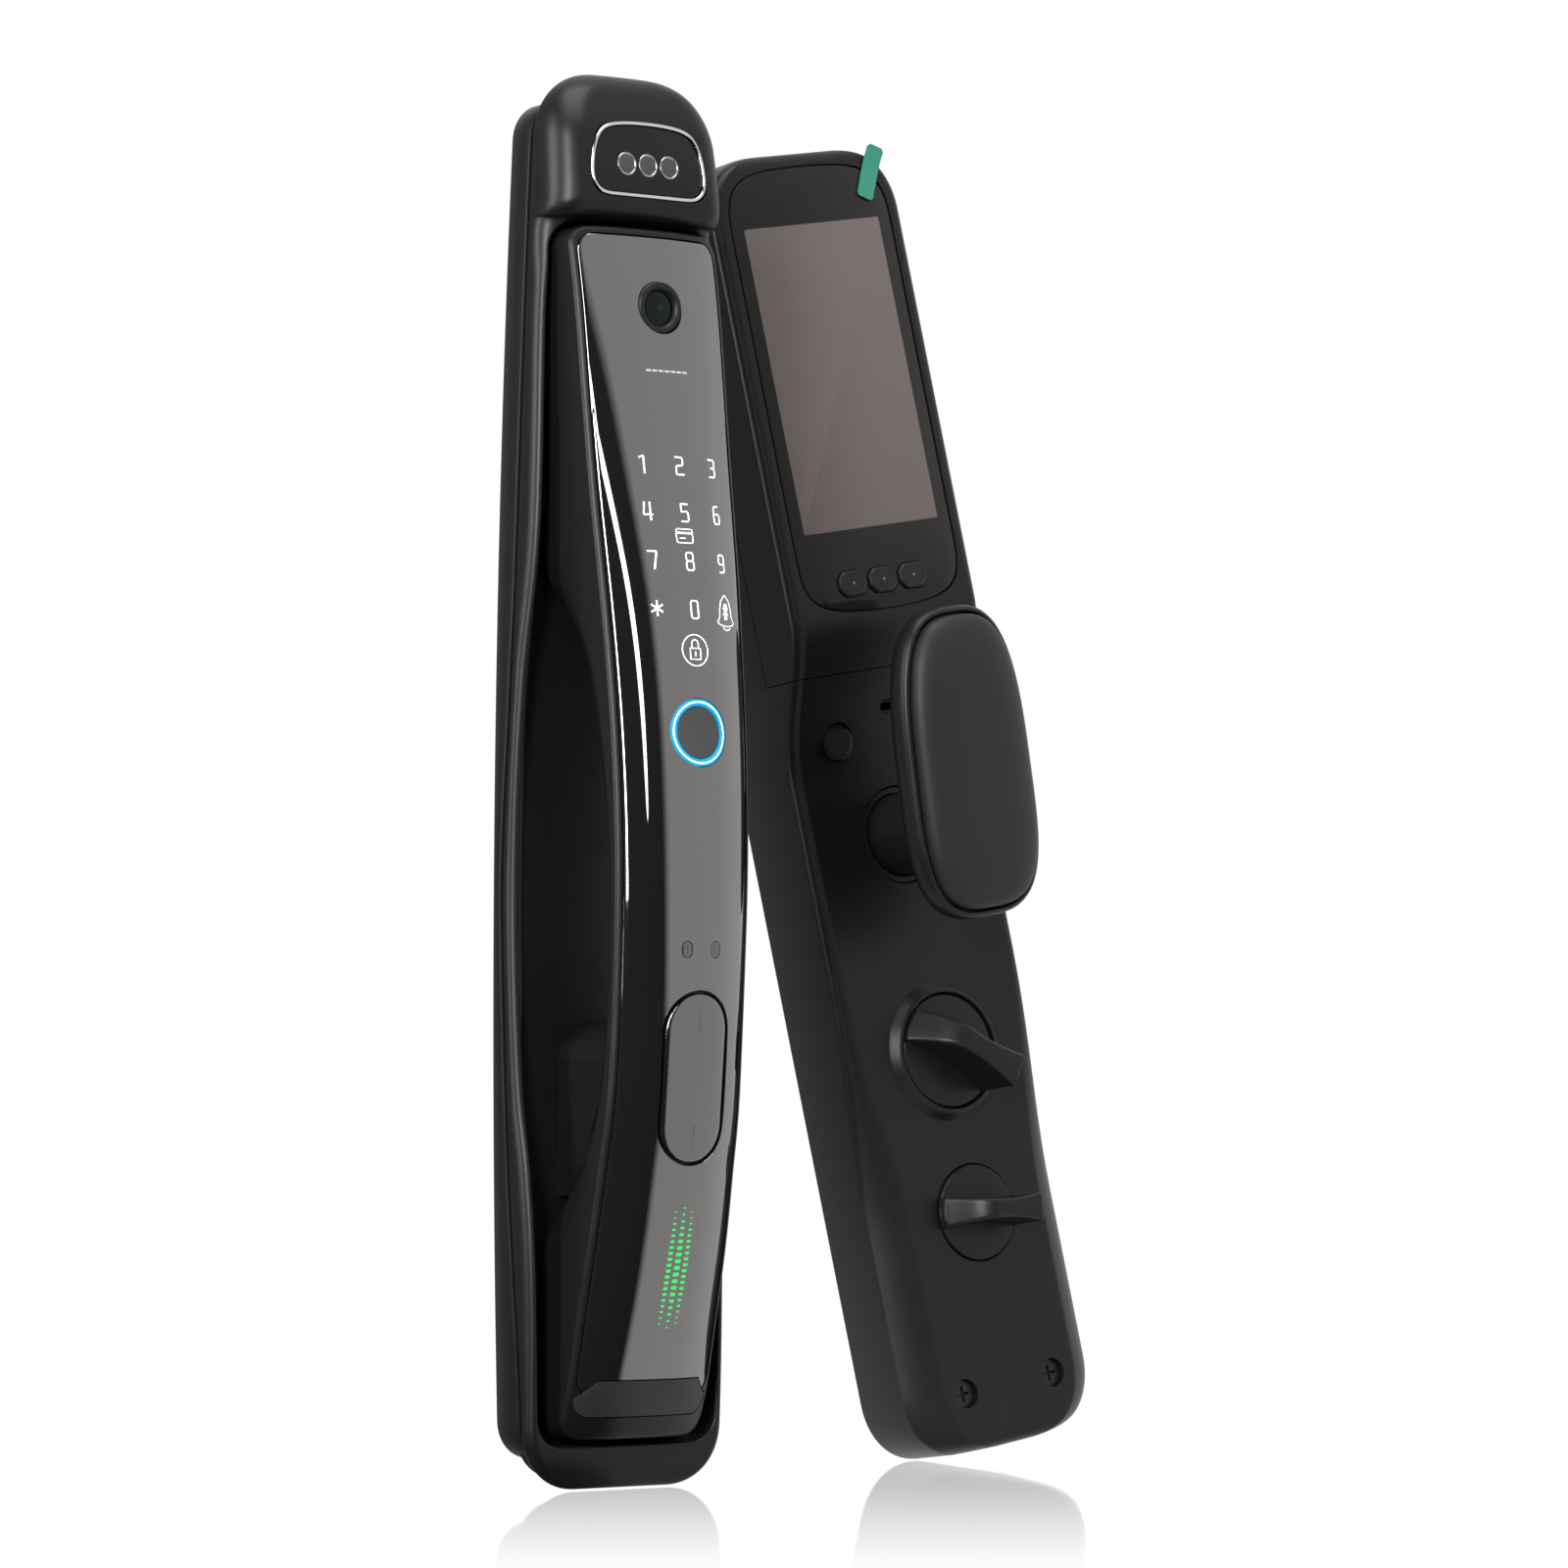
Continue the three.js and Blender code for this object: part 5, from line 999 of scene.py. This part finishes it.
def build_interior_casing():
    housing = interior_body("inside_casing")
    plate_room = interior_body("plate_room", WALL, -1.0)
    cut(plate_room, block("plate_slab", INT, (-FAR, -5, -5), (FAR, PLATE_ROOM, ABOVE)), "INTERSECT")
    cut(housing, plate_room, sharp=40)
    cut(housing, block("cover_room", INT, (-FAR, COVER_SEAM_DEPTH, COVER_SEAM), (FAR, FAR, ABOVE)), sharp=40)
    collar = stack("collar", INT, circle(22.6, 0, BIG_LEVEL, 128),
                   [(0, LOWER_DEPTH - 1), (0, LOWER_DEPTH + 0.05), (0.5, LOWER_DEPTH + 0.45),
                    (2.1, LOWER_DEPTH + 2.4), (2.6, LOWER_DEPTH + 2.85), (3.1, LOWER_DEPTH + 3.0),
                    (3.4, LOWER_DEPTH + 2.9)])
    cut(housing, collar, "UNION", 40)
    for level, radius in ((BIG_LEVEL, BIG_RADIUS), (SMALL_LEVEL, SMALL_RADIUS)):
        cut(housing, drum("well", INT, 0, level, radius + KNOB_GAP, LOWER_DEPTH - 4, FAR, 128), sharp=40)
    cut(housing, drum("bore", INT, 0, STEM_LEVEL, STEM_RADIUS + 2.8, LOWER_DEPTH - 14, FAR), sharp=40)
    open_surface = float(int_depth(OPEN_LEVEL))
    cut(housing, drum("well", INT, OPEN_X, OPEN_LEVEL, OPEN_RADIUS + GAP, open_surface - 8, FAR), sharp=40)
    port = rounded_rectangle(5.1, 2.2, 2.2, PORT_X, PORT_LEVEL)
    cut(housing, stack("port", INT, port, [(0, 18), (0, FAR)]), sharp=40)
    for x in (-SCREW_X, SCREW_X):
        cut(housing, drum("screw_room", INT, x, SCREW_LEVEL, 4.7, LOWER_DEPTH - 5, FAR, 64), sharp=40)
    finish_piece(housing, FIXED, "satin_black_metal", replaces=["interior_housing"])
    bush = stack("stem_bush", INT, circle(STEM_RADIUS + 2.5, 0, STEM_LEVEL),
                 [(0, LOWER_DEPTH - 13), (0, LOWER_DEPTH - 1.0), (0.3, LOWER_DEPTH - 0.6),
                  (1.9, LOWER_DEPTH - 0.6), (2.2, LOWER_DEPTH - 1.0), (2.2, LOWER_DEPTH - 13)], loop=True)
    finish_piece(bush, FIXED, "black_plastic", replaces=["handle_bush"])

    button = stack("open_cap", INT, circle(OPEN_RADIUS, OPEN_X, OPEN_LEVEL),
                   [(0, open_surface - 3), (0, open_surface + 0.45), (0.15, open_surface + 0.75),
                    (0.5, open_surface + 0.9), (1.1, open_surface + 0.88), (1.25, open_surface + 0.72),
                    (1.5, open_surface + 0.72), (1.65, open_surface + 0.88), (4.5, open_surface + 0.9)])
    finish_piece(button, "open_button", "black_plastic", replaces=["open_button"])


def build_battery_cover():
    cover = interior_body("battery_casing")
    room = block("room", INT, (-FAR, COVER_SEAM_DEPTH + GAP, COVER_SEAM + GAP), (FAR, FAR, ABOVE))
    cut(cover, room, "INTERSECT", 40)
    groove = glass_outline(0.45)
    cut(cover, stack("glass_seat", INT, groove, [(0, SCREEN_FLOOR), (0, FAR)]), sharp=40)
    finish_piece(cover, "battery_cover", "satin_black_metal", replaces=["battery_cover"])

    glass = stack("screen_face", INT, glass_outline(0),
                  [(0, SCREEN_FLOOR + 0.1), (0, UPPER_DEPTH - 0.55), (0.15, UPPER_DEPTH - 0.2),
                   (0.5, UPPER_DEPTH)])
    for index in range(3):
        cut(glass, stack("button_hole", INT, button_outline(index, 0.3), [(0, 30), (0, FAR)]))
    finish_piece(glass, "battery_cover", "touch_glass", screen_black, ["screen_glass"])

    # Display face: a real panel whose grey base colour is painted reflection on the dark screen.
    top, width, height = INT_HEIGHT - 23.7, 56.0, 99.6
    display = rounded_rectangle(width / 2, height / 2, 0.6, 0, top - height / 2, 5)
    pane = stack("display_face", INT, display, [(0, UPPER_DEPTH - 0.3), (0, UPPER_DEPTH + 0.03),
                                                (0.05, UPPER_DEPTH + 0.05)])
    finish_piece(pane, "battery_cover", "display_grey", replaces=["display_panel"])

    for index, name in enumerate(("call_button", "view_button", "menu_button")):
        low, high = SCREEN_FLOOR - 2.1, UPPER_DEPTH + 1.3
        cap = stack(name + "_cap", INT, button_outline(index, 0),
                    [(0, low), (0, high - 0.7), (0.1, high - 0.4), (0.32, high - 0.15),
                     (0.7, high), (0.9, high), (1.1, high - 0.12), (2.2, high - 0.12)])
        finish_piece(cap, name, "black_plastic", replaces=[name])
        icon = stack(name + "_mark", INT, circle(0.55, BUTTON_PITCH * (index - 1), BUTTON_LEVEL, 24),
                     [(0, high - 0.05), (0.05, high + 0.03), (0.2, high + 0.03)])
        finish_piece(icon, name, "black_plastic", icon_grey)

    half_width, tail, free = 3.2, 8.0, 10.0
    turn = math.radians(26)
    rings = []
    for along in np.linspace(-tail, free, 22):
        lift = UPPER_DEPTH + 0.3 + 1.2 * max(0, along / free) ** 2
        narrow = half_width - 0.9 * float(rounded_end(min(along + tail, free - along), 1.0, 2.0))
        corner = [(-narrow, lift), (0, lift + 0.05), (narrow, lift), (narrow, lift + 0.35), (0, lift + 0.4),
                  (-narrow, lift + 0.35)]
        ring = []
        for x, depth in corner:
            ring.append((33.0 - 5.8 + x * math.cos(turn) + along * math.sin(turn), depth,
                         INT_HEIGHT - 10 - x * math.sin(turn) + along * math.cos(turn)))
        rings.append(ring)
    tab = loft("film_tab", INT, rings)
    finish_piece(tab, "battery_cover", "film_teal", replaces=["film_pull_tab"])


# ---------- inside unit: paddle handle ----------
PADDLE_BACK, PADDLE_THICKNESS, PADDLE_LEAN = 59.5, 12.0, math.radians(6)
PADDLE_HALF = (25.6, 50.0)
PADDLE_LEVEL = STEM_LEVEL + 19.0


def paddle_outline(shrunk, count=160):
    angle = np.linspace(0, 2 * math.pi, count, endpoint=False)
    c, s = np.cos(angle), np.sin(angle)
    taper = 1 - 0.07 * s
    x = (PADDLE_HALF[0] - shrunk) * taper * np.sign(c) * np.abs(c) ** 0.62
    z = (PADDLE_HALF[1] - shrunk) * np.sign(s) * np.abs(s) ** 0.62
    return smooth_outline(np.stack([x, z], 1), count, 3)


def on_stem(points):
    x, d, z = np.asarray(points, float).T
    c, s = math.cos(PADDLE_LEAN), math.sin(PADDLE_LEAN)
    return np.stack([x, d * c + z * s + PADDLE_BACK, -d * s + z * c + PADDLE_LEVEL], 1)


def paddle_stack(name, rows):
    rings = []
    for shrunk, depth in rows:
        rings.append(on_stem(lay(paddle_outline(shrunk), depth)))
    return loft(name, INT, rings, sharp=35)


def build_paddle():
    back = PADDLE_THICKNESS
    outer = [(9.0, -1.0), (5.2, -0.1), (3.0, 1.5), (1.5, 3.1), (0.6, 5.0), (0.15, 6.6), (0, 8.0), (0.2, 9.4),
             (0.4, 10.4), (0.9, 11.4), (1.4, back - 0.2), (1.9, back), (2.3, back - 0.3), (2.5, back - 1.0),
             (2.6, 7.0)]
    finish_piece(paddle_stack("paddle_shell", outer), "paddle_handle", "satin_black_metal",
                 replaces=["paddle_frame"])
    edge = 3.0
    pad_rows = [(edge + 0.6, 7.2), (edge + 0.1, back - 2.5), (edge, back - 0.6), (edge + 0.1, back + 0.6)]
    for t in np.linspace(0.06, 1, 16):
        angle = t * math.pi / 2
        pad_rows.append((edge + 0.1 + 17.5 * (1 - math.cos(angle)), back + 0.6 + 6.6 * math.sin(angle)))
    finish_piece(paddle_stack("paddle_cushion", pad_rows), "paddle_handle", "pad_black",
                 replaces=["paddle_pad"])
    stem = stack("paddle_stem", INT, circle(STEM_RADIUS, 0, STEM_LEVEL),
                 [(5.2, 3), (5.2, 15), (0.3, 15), (0, 15.4), (0, 56.6)])
    finish_piece(stem, "paddle_handle", "satin_black_metal", replaces=["handle_stem"])


# ---------- inside unit: knobs ----------
def build_knob(name, body, level, radius, face, crest, turn, replaced):
    angle = math.radians(turn)
    base = LOWER_DEPTH - 3.7

    def turned(points):
        x, d, z = np.asarray(points, float).T
        return np.stack([x * math.cos(angle) + z * math.sin(angle), d,
                         -x * math.sin(angle) + z * math.cos(angle) + level], 1)

    profile = [(radius, base), (radius, face - 0.9), (radius - 0.12, face - 0.45), (radius - 0.45, face - 0.12),
               (radius - 0.9, face), (radius * 0.5, face), (radius * 0.1, face)]
    disc = loft(name + "_disc", INT, [turned(lay(circle(r, count=128), depth)) for r, depth in profile])
    rings = []
    reach = radius * 0.985
    for u in np.linspace(-1, 1, 61):
        x = u * reach
        limit = math.sqrt(max(0.0, radius**2 - x**2))
        half = radius * (0.2 + 0.12 * u * u)
        half = min(half, max(limit, radius * 0.17))
        slope = np.clip((-u - 0.22) / 0.76, 0, 1)
        top = crest - (crest - face - 1.8) * (slope**1.9)
        end_soft = float(rounded_end((1 - u) * reach, 1.2, 2.0))
        top -= end_soft * 0.8
        soft = min(1.5, (top - face) * 0.5)
        flare = 0.8
        left = [(-half - flare, face - 0.8), (-half - flare * 0.35, face + 0.25), (-half, face + 1.0)]
        for a in np.linspace(0, math.pi / 2, 7):
            left.append((-half + soft * (1 - math.cos(a)), top - soft + soft * math.sin(a)))
        left = np.array(left)
        section = np.concatenate([left, left[::-1] * [-1, 1]])
        rings.append(turned(np.stack([np.full(len(section), x), section[:, 1], section[:, 0]], 1)))
    blade = loft(name + "_blade", INT, rings, sharp=40)
    finish_piece(disc, body, "satin_black_metal", replaces=[replaced])
    finish_piece(blade, body, "satin_black_metal")


# ---------- camera, floor and light ----------
def build_camera():
    lens_mm, sensor_mm = 148.5, 36.0
    azimuth, pitch = math.radians(37.5), math.radians(2.4)
    level = math.cos(pitch)
    forward = Vector((math.sin(azimuth) * level, math.cos(azimuth) * level, math.sin(pitch)))
    data = bpy.data.cameras.new("camera")
    data.lens, data.sensor_width = lens_mm, sensor_mm
    data.clip_end = 50
    camera = bpy.data.objects.new("camera", data)
    camera.location = Vector((-1.2408, -1.6150, 0.1303))
    camera.rotation_euler = forward.to_track_quat("-Z", "Y").to_euler()
    bpy.context.scene.collection.objects.link(camera)
    bpy.context.scene.camera = camera


def area_light(name, location, target, size, power, color=(1, 1, 1)):
    data = bpy.data.lights.new(name, "AREA")
    data.shape, data.size, data.size_y = "RECTANGLE", *size
    data.energy, data.color = power, color
    light = bpy.data.objects.new(name, data)
    light.location = location
    direction = Vector(target) - Vector(location)
    light.rotation_euler = direction.to_track_quat("-Z", "Y").to_euler()
    bpy.context.scene.collection.objects.link(light)
    return light


def azimuth_ramp(nodes, links, vector, table):
    """Brightness by compass direction: 0.5 is straight out of the keypad's face, more is to its right."""
    split = nodes.new("ShaderNodeSeparateXYZ")
    links.new(vector, split.inputs["Vector"])
    flip = nodes.new("ShaderNodeMath")
    flip.operation = "MULTIPLY"
    flip.inputs[1].default_value = -1
    links.new(split.outputs["Y"], flip.inputs[0])
    sideways = nodes.new("ShaderNodeMath")
    sideways.operation = "ARCTAN2"
    links.new(split.outputs["X"], sideways.inputs[0])
    links.new(flip.outputs[0], sideways.inputs[1])
    turn = add_node(nodes, "MapRange", From_Min=-math.pi, From_Max=math.pi)
    links.new(sideways.outputs[0], turn.inputs["Value"])
    ramp = nodes.new("ShaderNodeValToRGB")
    links.new(turn.outputs["Result"], ramp.inputs["Fac"])
    stops = ramp.color_ramp.elements
    warm = (1, 0.965, 0.94)
    for index, (position, value) in enumerate(table):
        last = index == len(table) - 1
        stop = stops[0] if index == 0 else stops[-1] if last else stops.new(position)
        stop.position = position
        stop.color = (*[value * w for w in warm], 1)
    return ramp.outputs["Color"]


STUDIO = [(0.0, 0.9), (0.09, 0.35), (0.2, 0.12), (0.3, 0.03), (0.474, 0.022), (0.496, 1.2), (0.72, 1.25),
          (0.8, 0.95), (0.85, 1.07), (0.94, 1.07), (1.0, 0.9)]


def white_to_camera(nodes, links, vector):
    """White where the camera looks straight at it, the studio's light and dark for other rays."""
    seen = nodes.new("ShaderNodeLightPath")
    white = nodes.new("ShaderNodeMix")
    white.data_type = "RGBA"
    white.inputs["B"].default_value = (1, 1, 1, 1)
    links.new(seen.outputs["Is Camera Ray"], white.inputs["Factor"])
    links.new(azimuth_ramp(nodes, links, vector, STUDIO), white.inputs["A"])
    return seen, white


KEYPAD_SPOT = (-0.087, -0.045, 0.0)      # where the keypad's face stands on the floor


def floor_material():
    """White floor whose mirror gloss fades towards the camera; other rays meet the studio's light and dark."""
    material, nodes, links = new_material("pale_floor")
    nodes.remove(nodes["Principled BSDF"])
    place = nodes.new("ShaderNodeTexCoord")
    towards = nodes.new("ShaderNodeVectorMath")
    towards.operation = "DOT_PRODUCT"
    towards.inputs[1].default_value = (-0.609, -0.793, 0)
    links.new(place.outputs["Object"], towards.inputs[0])
    fade = add_node(nodes, "MapRange", From_Min=0.0, From_Max=0.45, To_Min=0.48, To_Max=0.0)
    fade.interpolation_type = "SMOOTHSTEP"
    links.new(towards.outputs["Value"], fade.inputs["Value"])
    cloud = add_node(nodes, "TexNoise", Scale=30.0)
    links.new(place.outputs["Object"], cloud.inputs["Vector"])
    haze = add_node(nodes, "MapRange", To_Min=0.03, To_Max=0.05)
    links.new(cloud.outputs["Fac"], haze.inputs["Value"])
    gloss = add_node(nodes, "BsdfAnisotropic", Color=(1, 1, 1, 1))
    links.new(haze.outputs["Result"], gloss.inputs["Roughness"])
    from_keypad = nodes.new("ShaderNodeVectorMath")
    from_keypad.operation = "SUBTRACT"
    from_keypad.inputs[1].default_value = KEYPAD_SPOT
    links.new(place.outputs["Object"], from_keypad.inputs[0])
    seen, pale = white_to_camera(nodes, links, from_keypad.outputs["Vector"])
    glow = nodes.new("ShaderNodeEmission")
    links.new(pale.outputs["Result"], glow.inputs["Color"])
    mixed = nodes.new("ShaderNodeMixShader")
    seen_gloss = nodes.new("ShaderNodeMath")
    seen_gloss.operation = "MULTIPLY"
    links.new(fade.outputs["Result"], seen_gloss.inputs[0])
    links.new(seen.outputs["Is Camera Ray"], seen_gloss.inputs[1])
    links.new(seen_gloss.outputs[0], mixed.inputs["Fac"])
    links.new(glow.outputs["Emission"], mixed.inputs[1])
    links.new(gloss.outputs["BSDF"], mixed.inputs[2])
    links.new(mixed.outputs["Shader"], nodes["Material Output"].inputs["Surface"])
    return material


def build_stage():
    scene = bpy.context.scene
    scene.view_settings.view_transform = "Standard"
    world = bpy.data.worlds.new("studio")
    scene.world = world
    world.use_nodes = True
    nodes, links = world.node_tree.nodes, world.node_tree.links
    background = nodes["Background"]
    place = nodes.new("ShaderNodeTexCoord")
    _, white = white_to_camera(nodes, links, place.outputs["Generated"])
    links.new(white.outputs["Result"], background.inputs["Color"])
    background.inputs["Strength"].default_value = 1.0

    floor_mesh = bpy.data.meshes.new("floor")
    reach = 6.0
    floor_mesh.from_pydata([(-reach, -reach, 0), (reach, -reach, 0), (reach, reach, 0), (-reach, reach, 0)], [],
                           [(0, 1, 2, 3)])
    floor = bpy.data.objects.new("floor", floor_mesh)
    floor.location.z = -0.0004
    scene.collection.objects.link(floor)
    floor_mesh.materials.append(floor_material())

    middle = (0.0, 0.0, 0.21)
    area_light("top_soft", (-0.25, -0.35, 1.7), middle, (1.1, 1.1), 26)
    sliver = area_light("front_strip", (-0.73, -1.31, 0.66), (0, 0, 0.3), (0.11, 0.75), 3.0)
    sliver.data.shape = "ELLIPSE"
    area_light("edge_soft", (-1.31, -0.92, 0.62), middle, (0.3, 1.0), 46, (0.95, 0.97, 1.0))
    area_light("left_strip", (-1.35, 0.12, 0.62), middle, (0.22, 1.1), 22, (0.93, 0.96, 1.0))


build_camera()
build_rear_shell()
build_front_shell()
build_face_window()
build_bow()
build_bow_fittings()
build_key_cover()
build_figures()
build_signal_lights()
build_interior_casing()
build_battery_cover()
build_paddle()
build_knob("deadbolt", "deadbolt_turn", BIG_LEVEL, BIG_RADIUS, LOWER_DEPTH + 2.4, LOWER_DEPTH + 19, 37,
           "deadbolt_knob")
build_knob("privacy", "privacy_turn", SMALL_LEVEL, SMALL_RADIUS, LOWER_DEPTH + 1.2, LOWER_DEPTH + 16.5, 8,
           "privacy_knob")
build_stage()
